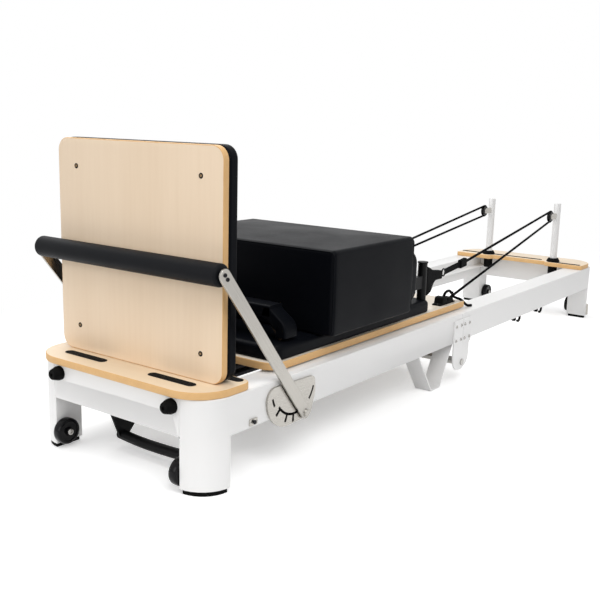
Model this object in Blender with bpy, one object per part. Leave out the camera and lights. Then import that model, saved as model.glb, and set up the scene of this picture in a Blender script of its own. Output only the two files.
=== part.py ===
"""Folding pilates reformer: a wheeled bed frame in two hinged halves, a sprung carriage with its
sitting box, a foot bar with a jump board behind it, and two rope risers at the head.

Metres, +Z up. Lengths along the frame are measured from the foot end face, heights from the floor,
and the near side is -Y. The origin is under the middle of the whole object.
"""
import math

import bmesh
import bpy
from mathutils import Matrix, Vector

# clearances
GAP = 0.0003
RUNNING_GAP = 0.0005
MERGE = 0.00001

# frame
HALF_WIDTH = 0.305
BEAM_TOP = 0.233
BEAM_BOTTOM = 0.138
CORNER = 0.085
INNER_WALL = HALF_WIDTH - CORNER
FOLD_X = 1.262
FOLD_Z = 0.066
FOLD_CLEARANCE = 0.005
FRAME_LENGTH = 2 * FOLD_X + CORNER + FOLD_CLEARANCE
SEAM = 0.0008
RAIL_TOP = 0.190
RAIL_DEPTH = 0.026
RAIL_THICKNESS = 0.008
FOOT_HEIGHT = 0.011
FOOT_INSET = 0.006

# transport wheels
WHEEL_RADIUS = 0.0345
WHEEL_WIDTH = 0.024
WHEEL_FROM_END = 0.0225
WHEEL_Z = 0.0455
AXLE_RADIUS = 0.005

# bumpers, which set how far the object reaches past the foot end
BUMPER_LENGTH = 0.027
BUMPER_BASE = 0.0185
BUMPER_TIP = 0.0135
BUMPER_HOLE = 0.005
BUMPER_HOLE_DEPTH = 0.003
BUMPER_Y = INNER_WALL - 0.022
BUMPER_Z = 0.209
MIDDLE_X = (FRAME_LENGTH + WHEEL_RADIUS - WHEEL_FROM_END - BUMPER_LENGTH) / 2

# hinge plates and V legs
HINGE_THICKNESS = 0.005
HINGE_WIDTH = 0.062
HINGE_TOP = 0.215
HINGE_CORNER = 0.045
JOGGLE_BELOW_BEAM = 0.004
JOGGLE_HEIGHT = 0.010
PIN_CAP_RADIUS = 0.011
PIN_CAP_HEIGHT = 0.004
LUG_RADIUS = 0.025
HINGE_PIN_RADIUS = 0.006
HINGE_TUBE_RADIUS = 0.013
V_THICKNESS = 0.005
V_BACK = 0.985
V_FOOT_BACK = 1.085
V_FOOT_FRONT = 1.144
V_FRONT = 1.222
V_BEND = 0.006
V_OUTER = HALF_WIDTH - 0.010
V_INNER = V_OUTER - 0.059

# foot end
PLY = 0.018
PLATFORM_FRONT = -0.013
PLATFORM_BACK = 0.165
PLATFORM_HALF = HALF_WIDTH - 0.002
PLATFORM_CORNER = 0.100
PLATFORM_BACK_CORNER = 0.030
HANDLE_X = 0.120
HANDLE_Z = 0.034
HANDLE_RADIUS = 0.014
HANDLE_Y = 0.098
HANDLE_PAST_GUSSET = 0.012
HANDLE_BOW = 0.006
GUSSET_THICKNESS = 0.006
GUSSET_FRONT = 0.062
SPRING_BAR_X = 0.200
SPRING_BAR_DEPTH = 0.035
SPRING_BAR_TOP = 0.181

# foot bar
PIVOT_X = 0.357
PIVOT_Z = 0.1265
GRIP_X = 0.043
GRIP_Z = 0.519
GRIP_RADIUS = 0.0265
GRIP_EASE = 0.004
GRIP_FROM_ARM = 0.0043
BAR_TUBE_RADIUS = 0.0125
ARM_WIDTH = 0.033
ARM_THICKNESS = 0.006
PLATE_THICKNESS = 0.006
ARM_FROM_PLATE = 0.003
ARM_IN = HALF_WIDTH + GAP + PLATE_THICKNESS + ARM_FROM_PLATE
GRIP_HALF = ARM_IN - GRIP_FROM_ARM
CUT_SPARE = 0.010
QUADRANT_BACK = 0.209
QUADRANT_TOP = 0.2205
QUADRANT_BACK_TOP_RADIUS = 0.033
QUADRANT_BOTTOM = 0.1025
QUADRANT_SWEEP = 0.080
QUADRANT_HEEL_X = 0.388
QUADRANT_HEEL_Z = 0.1085
QUADRANT_HEEL_RADIUS = 0.020
QUADRANT_NOSE_X = 0.408
QUADRANT_NOSE_Z = 0.170
QUADRANT_NOSE_RADIUS = 0.040
QUADRANT_TIP_X = 0.404
QUADRANT_TIP_Z = 0.215
QUADRANT_TIP_RADIUS = 0.015
INDEX_RADIUS = 0.100
INDEX_SLOT = 0.0045
INDEX_HOLE = 0.0075
INDEX_HOLES = 4
INDEX_PIN = 0.0036
NUT_RADIUS = 0.009
NUT_HEIGHT = 0.009
BOLT_HEAD_RADIUS = 0.010
BOLT_HEAD_HEIGHT = 0.006
LOWERED = 50

# jump board
BOARD_X = 0.080
BOARD_HALF = 0.280
BOARD_HEIGHT = 0.5455
BOARD_CORNER = 0.033
BOARD_PAD = 0.028
BOARD_PAD_OVERHANG = 0.0015
BOARD_PAD_RAISED = 0.002
BOARD_PIN_RADIUS = 0.006
BOARD_PIN_LENGTH = 0.045
BOARD_BOLT_Y = 0.212
BOARD_BOLT_ROWS = (0.318, 0.728)
RECESS_RADIUS = 0.006
RECESS_DEPTH = 0.004

# carriage
CARRIAGE_BACK = 0.283
CARRIAGE_FRONT = 1.348
CARRIAGE_HALF = HALF_WIDTH - 0.035
CARRIAGE_Z = 0.238
CARRIAGE_PLY = 0.020
CARRIAGE_BACK_CORNER = 0.045
CARRIAGE_FRONT_CORNER = 0.012
PAD_BACK = 0.300
PAD_FRONT = 1.115
PAD_HALF = CARRIAGE_HALF - 0.008
PAD_TOP = 0.298
ROLLER_RADIUS = 0.022
ROLLER_WIDTH = 0.020
ROLLER_XS = (0.40, 1.19)
ROLLER_CLEARANCE = 0.0014
ROLLER_Z = RAIL_TOP + ROLLER_CLEARANCE + ROLLER_RADIUS
SPRING_Z = 0.168
SPRING_RADIUS = 0.011
SPRING_YS = (-0.05, 0.0, 0.05)
ANCHOR_X = 0.860
UNDERFRAME_WALL = 0.005
UNDERFRAME_FROM_RAIL = 0.001
UNDERFRAME_Y = INNER_WALL - RAIL_DEPTH - UNDERFRAME_FROM_RAIL - UNDERFRAME_WALL
UNDERFRAME_BACK = 0.340
UNDERFRAME_FRONT = 1.240
UNDERFRAME_BOTTOM = 0.196
CROSS_BAR_XS = (0.350, 1.200)
CROSS_BAR_DEPTH = 0.030
CROSS_BAR_BOTTOM = 0.218
ANCHOR_BOTTOM = 0.156
SPRING_HOOK = 0.004
SPRING_HOOK_LENGTH = 0.030
SPRING_TAPER = 0.010

# sitting box and arch in front of it
BOX_BACK = 0.475
BOX_FRONT = 0.900
BOX_HALF = 0.312
BOX_TOP = 0.532
ARCH_X = 0.362
ARCH_WIDTH = 0.045
ARCH_HALF = 0.225
ARCH_TOP = 0.385
ARCH_FORMER = 0.010
ARCH_PAD = 0.018
ARCH_SLOPE = 0.050
ARCH_BEND = 0.020
ARCH_OVERHANG = 0.003
ARCH_SEATED = 0.0004

# shoulder rests
SHOULDER_BACK = 0.950
SHOULDER_FRONT = 1.010
SHOULDER_INNER = 0.130
SHOULDER_OUTER = CARRIAGE_HALF
SHOULDER_TOP = 0.475
SHOULDER_CORNER = 0.045
POST_X = 1.094
POST_Y = CARRIAGE_HALF - 0.035
POST_PLATE = 0.006
POST_PLATE_INNER = POST_Y - 0.055
POST_PLATE_OUTER = POST_Y + 0.017
POST_ARM_HALF = 0.009
POST_RADIUS = 0.015
POST_SIDES = 20
POST_TOP = 0.420
CLEAT_X = 1.255
CLEAT_Y = POST_Y
CLEAT_HALF_WIDTH = 0.014
CLEAT_FOOT = 0.045
CLEAT_FOOT_HEIGHT = 0.004
CLEAT_BLOCK = 0.026
CLEAT_HEIGHT = 0.022

# webbing loops on the posts
LOOP_TIP_X = 1.238
LOOP_TIP_Z = 0.366
LOOP_TIP_HALF = 0.018
LOOP_HALF_WIDTH = 0.010
LOOP_TOP = 0.405
LOOP_BOTTOM = 0.300
STRAP_RADIUS = 0.005
BUCKLE_RADIUS = 0.009
BUCKLE_LENGTH = 0.030

# head end
HEAD_PLATFORM_BACK = 2.432
HEAD_PLATFORM_HALF = HALF_WIDTH - 0.003
HEAD_PLATFORM_SHORT = 0.004
HEAD_JOG = 0.135
HEAD_JOG_SLOPE = 0.012
HEAD_JOG_CORNER = 0.010
HEAD_SET_BACK = 0.022
RISER_X = 2.475
RISER_Y = 0.157
RISER_RADIUS = 0.015
RISER_TOP = 0.514
COLLAR_RADIUS = 0.029
COLLAR_HEIGHT = 0.016
COLLAR_SIDES = 20
SOCKET_RADIUS = 0.020
SOCKET_BOTTOM = 0.190
SHEAVE_RADIUS = 0.022
SHEAVE_WIDTH = 0.014
SHEAVE_X = RISER_X - 0.080
SHEAVE_Z = 0.461
GROOVE_DEPTH = 0.0045
GROOVE_FLOOR = 0.0056
SHEAVE_RIM = 0.0012
SHEAVE_AXLE = 0.003
CHEEK = 0.0015
CHEEK_RADIUS = 0.0125
EYE_RADIUS = 0.005
EYE_CAP_RADIUS = 0.010
EYE_CAP_HEIGHT = 0.004
EYE_REACH = 0.006
BRIDGE = 0.006
BRIDGE_HALF = 0.010

# ropes; the far one starts lower, as its strap hangs down behind the box
ROPE_RADIUS = 0.0035
ROPE_X = 1.400
ROPE_Y = POST_Y
NEAR_ROPE_Z = 0.384
FAR_ROPE_Z = 0.316
ROPE_IN_LINE = 0.010
ROPE_END_AFTER_CLEAT = 0.047
ROPE_END_ABOVE_DECK = 0.014
ROPE_OVER = 100
ROPE_UNDER = -105
ROPE_TURNS = 12

NEAR, FAR = -1, 1
SIDE_NAMES = {NEAR: "near", FAR: "far"}
SIDES = (NEAR, FAR)
ROPE_STARTS = {NEAR: NEAR_ROPE_Z, FAR: FAR_ROPE_Z}


class Body:
    """An empty on a joint's axis, which carries the pieces that move with it."""

    def __init__(self, name, at, parent=None):
        self.at = Vector(at)
        self.empty = bpy.data.objects.new(name, None)
        bpy.context.scene.collection.objects.link(self.empty)
        if parent:
            self.empty.parent = parent.empty
            self.empty.location = self.at - parent.at
        else:
            self.empty.location = self.at - Vector((MIDDLE_X, 0, 0))


def make_finish(name, colour, roughness, metallic=0.0):
    """A Principled material of one colour."""
    material = bpy.data.materials.new(name)
    material.use_nodes = True
    shader = material.node_tree.nodes["Principled BSDF"]
    shader.inputs["Base Color"].default_value = (*colour, 1)
    shader.inputs["Roughness"].default_value = roughness
    shader.inputs["Metallic"].default_value = metallic
    return material


def piece(name, mesh, finish, body, bevel=0.0, steps=1):
    """Links a finished piece, drawn in frame coordinates, to its body."""
    data = bpy.data.meshes.new(name)
    mesh.to_mesh(data)
    mesh.free()
    data.transform(Matrix.Translation(-body.at))
    data.materials.append(finish)
    thing = bpy.data.objects.new(name, data)
    bpy.context.scene.collection.objects.link(thing)
    thing.parent = body.empty
    data.shade_smooth()
    data.set_sharp_from_angle(angle=math.radians(35))
    if bevel:
        round_edges = thing.modifiers.new("edges", "BEVEL")
        round_edges.width = bevel
        round_edges.segments = steps
        round_edges.limit_method = "ANGLE"
        round_edges.angle_limit = math.radians(40)
    return thing


def combine(thing, mesh, operation):
    """Adds or cuts a mesh, drawn in frame coordinates, on a piece by a Boolean."""
    data = bpy.data.meshes.new(thing.name + "_tool")
    mesh.to_mesh(data)
    mesh.free()
    tool = bpy.data.objects.new(thing.name + "_tool", data)
    bpy.context.scene.collection.objects.link(tool)
    tool.location = Vector((-MIDDLE_X, 0, 0))
    tool.hide_render = True
    tool.display_type = "WIRE"
    boolean = thing.modifiers.new("shape", "BOOLEAN")
    boolean.operation = operation
    boolean.solver = "EXACT"
    boolean.object = tool


def extruded(outline, low, high, axis):
    """Closed prism of a flat outline between two places along an axis."""
    place = {
        "X": lambda a, b, along: (along, a, b),
        "Y": lambda a, b, along: (a, along, b),
        "Z": lambda a, b, along: (a, b, along),
    }[axis]
    mesh = bmesh.new()
    face = mesh.faces.new([mesh.verts.new(place(a, b, low)) for a, b in outline])
    grown = bmesh.ops.extrude_face_region(mesh, geom=[face])["geom"]
    moved = [item for item in grown if isinstance(item, bmesh.types.BMVert)]
    bmesh.ops.translate(mesh, verts=moved, vec=place(0, 0, high - low))
    bmesh.ops.recalc_face_normals(mesh, faces=mesh.faces)
    return mesh


def block(x_range, y_range, z_range):
    """Rectangular block between pairs of limits."""
    xs = sorted(x_range)
    ys = sorted(y_range)
    outline = [(xs[0], ys[0]), (xs[1], ys[0]), (xs[1], ys[1]), (xs[0], ys[1])]
    return extruded(outline, *sorted(z_range), "Z")


def fillet(back, here, ahead, radius, steps):
    """Points of the arc that rounds the corner at here."""
    to_back = (back - here).normalized()
    to_ahead = (ahead - here).normalized()
    half = to_back.angle(to_ahead) / 2
    reach = radius / math.tan(half)
    centre = here + (to_back + to_ahead).normalized() * radius / math.sin(half)
    start = here + to_back * reach - centre
    end = here + to_ahead * reach - centre
    turn = math.copysign(math.pi - 2 * half, start.x * end.y - start.y * end.x)
    return [centre + Matrix.Rotation(turn * step / steps, 2) @ start for step in range(steps + 1)]


def rounded(corners, steps=4, closed=True):
    """Outline through corners (a, b, radius), each rounded by its radius."""
    outline = []
    count = len(corners)
    for index, (a, b, radius) in enumerate(corners):
        here = Vector((a, b))
        at_end = not closed and index in (0, count - 1)
        if radius == 0 or at_end:
            outline.append(here)
            continue
        back = Vector(corners[index - 1][:2])
        ahead = Vector(corners[(index + 1) % count][:2])
        outline.extend(fillet(back, here, ahead, radius, steps))
    return outline


def rectangle(a_range, b_range, radius=0.0):
    """Corners of a rectangle for rounded()."""
    a_low, a_high = sorted(a_range)
    b_low, b_high = sorted(b_range)
    places = [(a_low, b_low), (a_high, b_low), (a_high, b_high), (a_low, b_high)]
    return [(a, b, radius) for a, b in places]


def mirrored(half):
    """The corners of the near half of an outline, in turn after those of its far half."""
    return [(x, -y, radius) for x, y, radius in half[::-1]]


def strip(path, thickness):
    """Outline of a bent plate whose one face follows an open path."""
    inner = []
    for index, here in enumerate(path):
        back = (here - path[max(index - 1, 0)]).normalized()
        ahead = (path[min(index + 1, len(path) - 1)] - here).normalized()
        if index == 0:
            back = ahead
        if index == len(path) - 1:
            ahead = back
        along = (back + ahead).normalized()
        across = Vector((-along.y, along.x))
        inner.append(here + across * thickness / back.dot(along))
    return list(path) + inner[::-1]


def stadium(start, end, radius, steps=8):
    """Outline of a flat bar with round ends."""
    start, end = Vector(start), Vector(end)
    along = (end - start).normalized()
    across = Vector((-along.y, along.x)) * radius
    outline = [end + Matrix.Rotation(math.pi * step / steps, 2) @ -across for step in range(steps + 1)]
    outline += [start + Matrix.Rotation(math.pi * step / steps, 2) @ across for step in range(steps + 1)]
    return outline


def disc(a, b, radius, steps=16):
    """Outline of a circle."""
    angles = [2 * math.pi * step / steps for step in range(steps)]
    return [(a + radius * math.cos(angle), b + radius * math.sin(angle)) for angle in angles]


def arc_band(centre, radius, half_width, start, end, steps=10):
    """Outline of a curved slot with square ends about a centre, angles in degrees."""
    angles = [math.radians(start + (end - start) * step / steps) for step in range(steps + 1)]
    outline = []
    for side, order in ((half_width, angles), (-half_width, angles[::-1])):
        reach = radius + side
        outline += [(centre[0] + reach * math.cos(a), centre[1] + reach * math.sin(a)) for a in order]
    return outline


TURN_TO = {
    "Z": Matrix.Identity(3),
    "X": Matrix.Rotation(math.radians(90), 3, "Y"),
    "Y": Matrix.Rotation(math.radians(-90), 3, "X"),
}


def turned(profile, at, axis, steps=16, ring=False):
    """Body of revolution of (radius, along) points about an axis through a place."""
    mesh = bmesh.new()
    points = [mesh.verts.new((radius, 0, along)) for radius, along in profile]
    edges = [mesh.edges.new(pair) for pair in zip(points, points[1:])]
    if ring:
        edges.append(mesh.edges.new((points[-1], points[0])))
    bmesh.ops.spin(
        mesh, geom=points + edges, cent=(0, 0, 0), axis=(0, 0, 1), angle=2 * math.pi, steps=steps,
        use_merge=True,
    )
    bmesh.ops.remove_doubles(mesh, verts=mesh.verts, dist=MERGE)
    bmesh.ops.recalc_face_normals(mesh, faces=mesh.faces)
    bmesh.ops.transform(mesh, matrix=Matrix.Translation(at) @ TURN_TO[axis].to_4x4(), verts=mesh.verts)
    return mesh


def lofted(rings):
    """Closed skin over a stack of rings with the same number of points."""
    mesh = bmesh.new()
    loops = [[mesh.verts.new(point) for point in ring] for ring in rings]
    for lower, upper in zip(loops, loops[1:]):
        for index in range(len(lower)):
            after = (index + 1) % len(lower)
            mesh.faces.new((lower[index], lower[after], upper[after], upper[index]))
    mesh.faces.new(loops[0][::-1])
    mesh.faces.new(loops[-1])
    bmesh.ops.recalc_face_normals(mesh, faces=mesh.faces)
    return mesh


def soft_block(x_range, y_range, z_range, plan_radius, edge, crown, steps=4):
    """Upholstered block: rounded in plan, drawn in at its bottom edge, rolled over its top, crowned.

    The sides swell by an eighth of the edge radius half way up.
    """
    x_low, x_high = x_range
    y_low, y_high = sorted(y_range)
    z_low, z_high = z_range
    rings = []

    def ring(inset, height):
        radius = max(plan_radius - inset, edge / 4)
        corners = rectangle((x_low + inset, x_high - inset), (y_low + inset, y_high - inset), radius)
        rings.append([(x, y, height) for x, y in rounded(corners, steps)])

    swell = edge / 8
    ring(swell + edge / 4, z_low)
    ring(swell, z_low + edge / 4)
    ring(0, (z_low + z_high) / 2)
    shoulder = z_high - crown - edge
    for step in range(steps + 1):
        angle = math.pi / 2 * step / steps
        ring(swell + edge * (1 - math.cos(angle)), shoulder + edge * math.sin(angle))
    deepest = min(x_high - x_low, y_high - y_low) / 2
    for share in (0.35, 0.65):
        ring(swell + edge + (deepest - 2 * edge) * share, z_high - crown * (1 - share) ** 2)
    return lofted(rings)


def side_frame(start_x, outward, side):
    """Side beam with its quarter-round corner leg and the inner rail ledge.

    start_x is the end face of the half and outward is +1 where the half runs towards +X from it.
    """
    steps = 8
    arc = []
    for step in range(steps + 1):
        angle = math.pi / 2 * step / steps
        arc.append((CORNER * (1 - math.cos(angle)), INNER_WALL + CORNER * math.sin(angle)))
    length = abs(FOLD_X - start_x) - SEAM
    mesh = bmesh.new()
    corner = [mesh.verts.new((x, y, BEAM_BOTTOM)) for x, y in arc]
    heel = mesh.verts.new((CORNER, INNER_WALL, BEAM_BOTTOM))
    ends = [mesh.verts.new((length, y, BEAM_BOTTOM)) for y in (HALF_WIDTH, INNER_WALL)]
    quarter = mesh.faces.new(corner + [heel])
    straight = mesh.faces.new([heel, corner[-1]] + ends)
    grown = bmesh.ops.extrude_face_region(mesh, geom=[quarter, straight])["geom"]
    top = [item for item in grown if isinstance(item, bmesh.types.BMVert)]
    bmesh.ops.translate(mesh, verts=top, vec=(0, 0, BEAM_TOP - BEAM_BOTTOM))
    grown = bmesh.ops.extrude_face_region(mesh, geom=[quarter])["geom"]
    foot = [item for item in grown if isinstance(item, bmesh.types.BMVert)]
    bmesh.ops.translate(mesh, verts=foot, vec=(0, 0, FOOT_HEIGHT - BEAM_BOTTOM))
    if quarter.is_valid:
        mesh.faces.remove(quarter)
    for height in (RAIL_TOP - RAIL_THICKNESS, RAIL_TOP):
        whole = list(mesh.verts) + list(mesh.edges) + list(mesh.faces)
        bmesh.ops.bisect_plane(mesh, geom=whole, plane_co=(0, 0, height), plane_no=(0, 0, 1), dist=MERGE)
    ledge = []
    for face in mesh.faces:
        middle = face.calc_center_median()
        on_wall = abs(middle.y - INNER_WALL) < MERGE and middle.x > CORNER
        if on_wall and RAIL_TOP - RAIL_THICKNESS < middle.z < RAIL_TOP:
            ledge.append(face)
    grown = bmesh.ops.extrude_face_region(mesh, geom=ledge)["geom"]
    lip = [item for item in grown if isinstance(item, bmesh.types.BMVert)]
    bmesh.ops.translate(mesh, verts=lip, vec=(0, -RAIL_DEPTH, 0))
    covered = [face for face in ledge if face.is_valid]
    bmesh.ops.delete(mesh, geom=covered, context="FACES_ONLY")
    bmesh.ops.scale(mesh, vec=(outward, side, 1), verts=mesh.verts)
    bmesh.ops.translate(mesh, vec=(start_x, 0, 0), verts=mesh.verts)
    bmesh.ops.recalc_face_normals(mesh, faces=mesh.faces)
    return mesh


def rubber_foot(start_x, outward, side):
    """Quarter-round rubber foot under a corner leg."""
    radius = CORNER - FOOT_INSET
    steps = 8
    outline = [(CORNER - FOOT_INSET, INNER_WALL + FOOT_INSET)]
    for step in range(steps + 1):
        angle = math.pi / 2 * step / steps
        x = CORNER - FOOT_INSET - (radius - FOOT_INSET) * math.cos(angle)
        y = INNER_WALL + FOOT_INSET + (radius - FOOT_INSET) * math.sin(angle)
        outline.append((x, y))
    outline = [(start_x + outward * x, side * y) for x, y in outline]
    return extruded(outline, 0, FOOT_HEIGHT - GAP, "Z")


def end_beam(start_x, outward):
    """Cross beam between the two side frames at one end."""
    width = INNER_WALL - GAP
    return block((start_x, start_x + outward * CORNER), (-width, width), (BEAM_BOTTOM, BEAM_TOP))


def add_half(label, start_x, outward, body, finishes):
    """The welded frame, rubber feet and transport wheels of one half."""
    for side in SIDES:
        tag = label + "_" + SIDE_NAMES[side]
        frame = piece("side_frame_" + tag, side_frame(start_x, outward, side), finishes["frame"], body, 0.002)
        axle_x = start_x + outward * WHEEL_FROM_END
        bore = turned(
            [(0, -0.02), (AXLE_RADIUS + RUNNING_GAP, -0.02), (AXLE_RADIUS + RUNNING_GAP, 0.02), (0, 0.02)],
            (axle_x, side * INNER_WALL, WHEEL_Z), "Y", 12,
        )
        combine(frame, bore, "DIFFERENCE")
        piece("rubber_foot_" + tag, rubber_foot(start_x, outward, side), finishes["rubber"], body)
        add_wheel(tag, axle_x, side, body, finishes)
    return piece("end_beam_" + label, end_beam(start_x, outward), finishes["frame"], body, 0.002)


def add_wheel(tag, axle_x, side, parent, finishes):
    """Solid transport wheel with its shoulder axle, which turns in the leg's inner wall."""
    wheel_y = side * (INNER_WALL - RUNNING_GAP * 2 - WHEEL_WIDTH / 2)
    body = Body("wheel_axis_" + tag, (axle_x, wheel_y, WHEEL_Z), parent)
    half = WHEEL_WIDTH / 2
    tread = 0.004
    hub = 0.011
    profile = [
        (0, -half - 0.003), (hub * 0.7, -half - 0.003), (hub, -half), (hub, -half + 0.003),
        (WHEEL_RADIUS - 0.010, -half + 0.003), (WHEEL_RADIUS - 0.008, -half), (WHEEL_RADIUS - tread, -half),
        (WHEEL_RADIUS, -half + tread), (WHEEL_RADIUS, half - tread), (WHEEL_RADIUS - tread, half),
        (AXLE_RADIUS, half), (AXLE_RADIUS, half + 0.014), (0, half + 0.014),
    ]
    profile = [(radius, side * along) for radius, along in profile]
    piece("transport_wheel_" + tag, turned(profile, body.at, "Y", 20), finishes["wheel"], body)


def add_v_legs(root, finishes):
    """Bent plate legs near the fold, which carry the middle of the foot half."""
    top = BEAM_BOTTOM - GAP
    corners = [(V_BACK, top, 0), (V_FOOT_BACK, 0, V_BEND), (V_FOOT_FRONT, 0, V_BEND), (V_FRONT, top, 0)]
    path = rounded(corners, 2, closed=False)
    for side in SIDES:
        leg = extruded(strip(path, V_THICKNESS), side * V_INNER, side * V_OUTER, "Y")
        trim = block((V_BACK - 0.1, V_FRONT + 0.1), (-1, 1), (top, top + 0.05))
        thing = piece("v_leg_" + SIDE_NAMES[side], leg, finishes["frame"], root)
        combine(thing, trim, "DIFFERENCE")


def hinge_outline(toward):
    """Side view of a hinge plate: straight down from its top, with one wide round corner at its foot."""
    inner = FOLD_X + toward * SEAM
    outer = FOLD_X + toward * HINGE_WIDTH
    low = FOLD_Z - LUG_RADIUS
    corners = [(inner, HINGE_TOP, 0), (outer, HINGE_TOP, 0), (outer, low, HINGE_CORNER), (inner, low, 0)]
    return rounded(corners, 6)


def add_hinge(root, head, finishes):
    """Foot and head plates on both sides with the cross tube and its pivot pins."""
    foot_in = HALF_WIDTH + GAP
    foot_out = foot_in + HINGE_THICKNESS
    lug_out = foot_in - GAP * 2
    lug_in = lug_out - HINGE_THICKNESS
    spare = 0.01
    bore = disc(FOLD_X, FOLD_Z, HINGE_PIN_RADIUS + RUNNING_GAP)
    lug = disc(FOLD_X, FOLD_Z, LUG_RADIUS, 24)
    joggle = [
        Vector((foot_in, HINGE_TOP + spare)), Vector((foot_in, BEAM_BOTTOM - JOGGLE_BELOW_BEAM)),
        Vector((lug_in, BEAM_BOTTOM - JOGGLE_BELOW_BEAM - JOGGLE_HEIGHT)),
        Vector((lug_in, FOLD_Z - LUG_RADIUS - spare)),
    ]
    for side in SIDES:
        through = (side * (lug_in - spare), side * (foot_out + spare))
        ys = (side * foot_in, side * foot_out)
        plate = extruded(hinge_outline(-1), *ys, "Y")
        plate = piece("hinge_plate_foot_" + SIDE_NAMES[side], plate, finishes["plate"], root)
        combine(plate, extruded(lug, *ys, "Y"), "UNION")
        combine(plate, extruded(bore, *through, "Y"), "DIFFERENCE")

        section = [(side * y, z) for y, z in strip(joggle, HINGE_THICKNESS)]
        plate = extruded(section, FOLD_X - spare, FOLD_X + HINGE_WIDTH + spare, "X")
        plate = piece("hinge_plate_head_" + SIDE_NAMES[side], plate, finishes["plate"], head)
        combine(plate, extruded(hinge_outline(1), *through, "Y"), "INTERSECT")
        combine(plate, extruded(lug, side * lug_in, side * lug_out, "Y"), "UNION")
        combine(plate, extruded(bore, *through, "Y"), "DIFFERENCE")
    tube_end = lug_in - GAP
    cap = foot_out + GAP
    half = [
        (HINGE_TUBE_RADIUS, 0), (HINGE_TUBE_RADIUS, tube_end), (HINGE_PIN_RADIUS, tube_end),
        (HINGE_PIN_RADIUS, cap), (PIN_CAP_RADIUS, cap), (PIN_CAP_RADIUS, cap + PIN_CAP_HEIGHT),
        (0, cap + PIN_CAP_HEIGHT),
    ]
    profile = [(radius, -along) for radius, along in half[:0:-1]] + half[1:]
    piece("hinge_tube", turned(profile, head.at, "Y"), finishes["dark"], head)


def add_foot_end(root, finishes):
    """End beam with its bumpers, ply platform, spring bar and the lift handle below."""
    beam = add_half("foot", 0.0, 1, root, finishes)
    bumper = [
        (0, -0.004), (BUMPER_BASE, -0.004), (BUMPER_BASE, BUMPER_LENGTH / 3),
        (BUMPER_TIP, BUMPER_LENGTH - 0.002), (BUMPER_TIP - 0.002, BUMPER_LENGTH),
        (BUMPER_HOLE, BUMPER_LENGTH), (BUMPER_HOLE, BUMPER_LENGTH - BUMPER_HOLE_DEPTH),
        (0, BUMPER_LENGTH - BUMPER_HOLE_DEPTH),
    ]
    for side in SIDES:
        mesh = turned([(radius, -along) for radius, along in bumper], (0, side * BUMPER_Y, BUMPER_Z), "X")
        combine(beam, mesh, "UNION")
    low = BEAM_TOP + GAP
    half = [
        (PLATFORM_BACK, PLATFORM_HALF, PLATFORM_BACK_CORNER),
        (PLATFORM_FRONT, PLATFORM_HALF, PLATFORM_CORNER),
    ]
    platform = extruded(rounded(half + mirrored(half), 6), low, low + PLY, "Z")
    platform = piece("platform_foot", platform, finishes["ply"], root, 0.002)
    pin_x = BOARD_X + PLY / 2
    bore = BOARD_PIN_RADIUS + RUNNING_GAP
    deep = low + PLY - BOARD_PIN_LENGTH - 0.004
    for side in SIDES:
        combine(platform, extruded(disc(pin_x, side * BOARD_BOLT_Y, bore, 12), deep, 0.3, "Z"), "DIFFERENCE")
        combine(beam, extruded(disc(pin_x, side * BOARD_BOLT_Y, bore, 12), deep, 0.3, "Z"), "DIFFERENCE")
    bar_back = SPRING_BAR_X + SPRING_BAR_DEPTH
    width = INNER_WALL - GAP
    bar = block((SPRING_BAR_X, bar_back), (-width, width), (BEAM_BOTTOM, SPRING_BAR_TOP))
    piece("spring_bar", bar, finishes["dark"], root, 0.002)
    handle = piece("lift_handle", bowed_bar(), finishes["dark"], root)
    top = BEAM_BOTTOM - GAP
    gusset = [
        (GUSSET_FRONT, top, 0), (bar_back - 0.004, top, 0), (bar_back - 0.030, top - 0.030, 0.01),
        (HANDLE_X + 0.014, HANDLE_Z - 0.004, 0.008), (HANDLE_X - 0.014, HANDLE_Z - 0.004, 0.008),
    ]
    for side in SIDES:
        ys = (side * (HANDLE_Y - GUSSET_THICKNESS / 2), side * (HANDLE_Y + GUSSET_THICKNESS / 2))
        combine(handle, extruded(rounded(gusset, 3), *ys, "Y"), "UNION")


def bowed_bar():
    """Round handle bar between the gussets, which bows down by a parabola."""
    half = HANDLE_Y + HANDLE_PAST_GUSSET
    steps = 8
    rings = []
    for step in range(steps + 1):
        share = 2 * step / steps - 1
        z = HANDLE_Z - HANDLE_BOW * (1 - share ** 2)
        rings.append([(x, half * share, height) for x, height in disc(HANDLE_X, z, HANDLE_RADIUS)])
    return lofted(rings)


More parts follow.
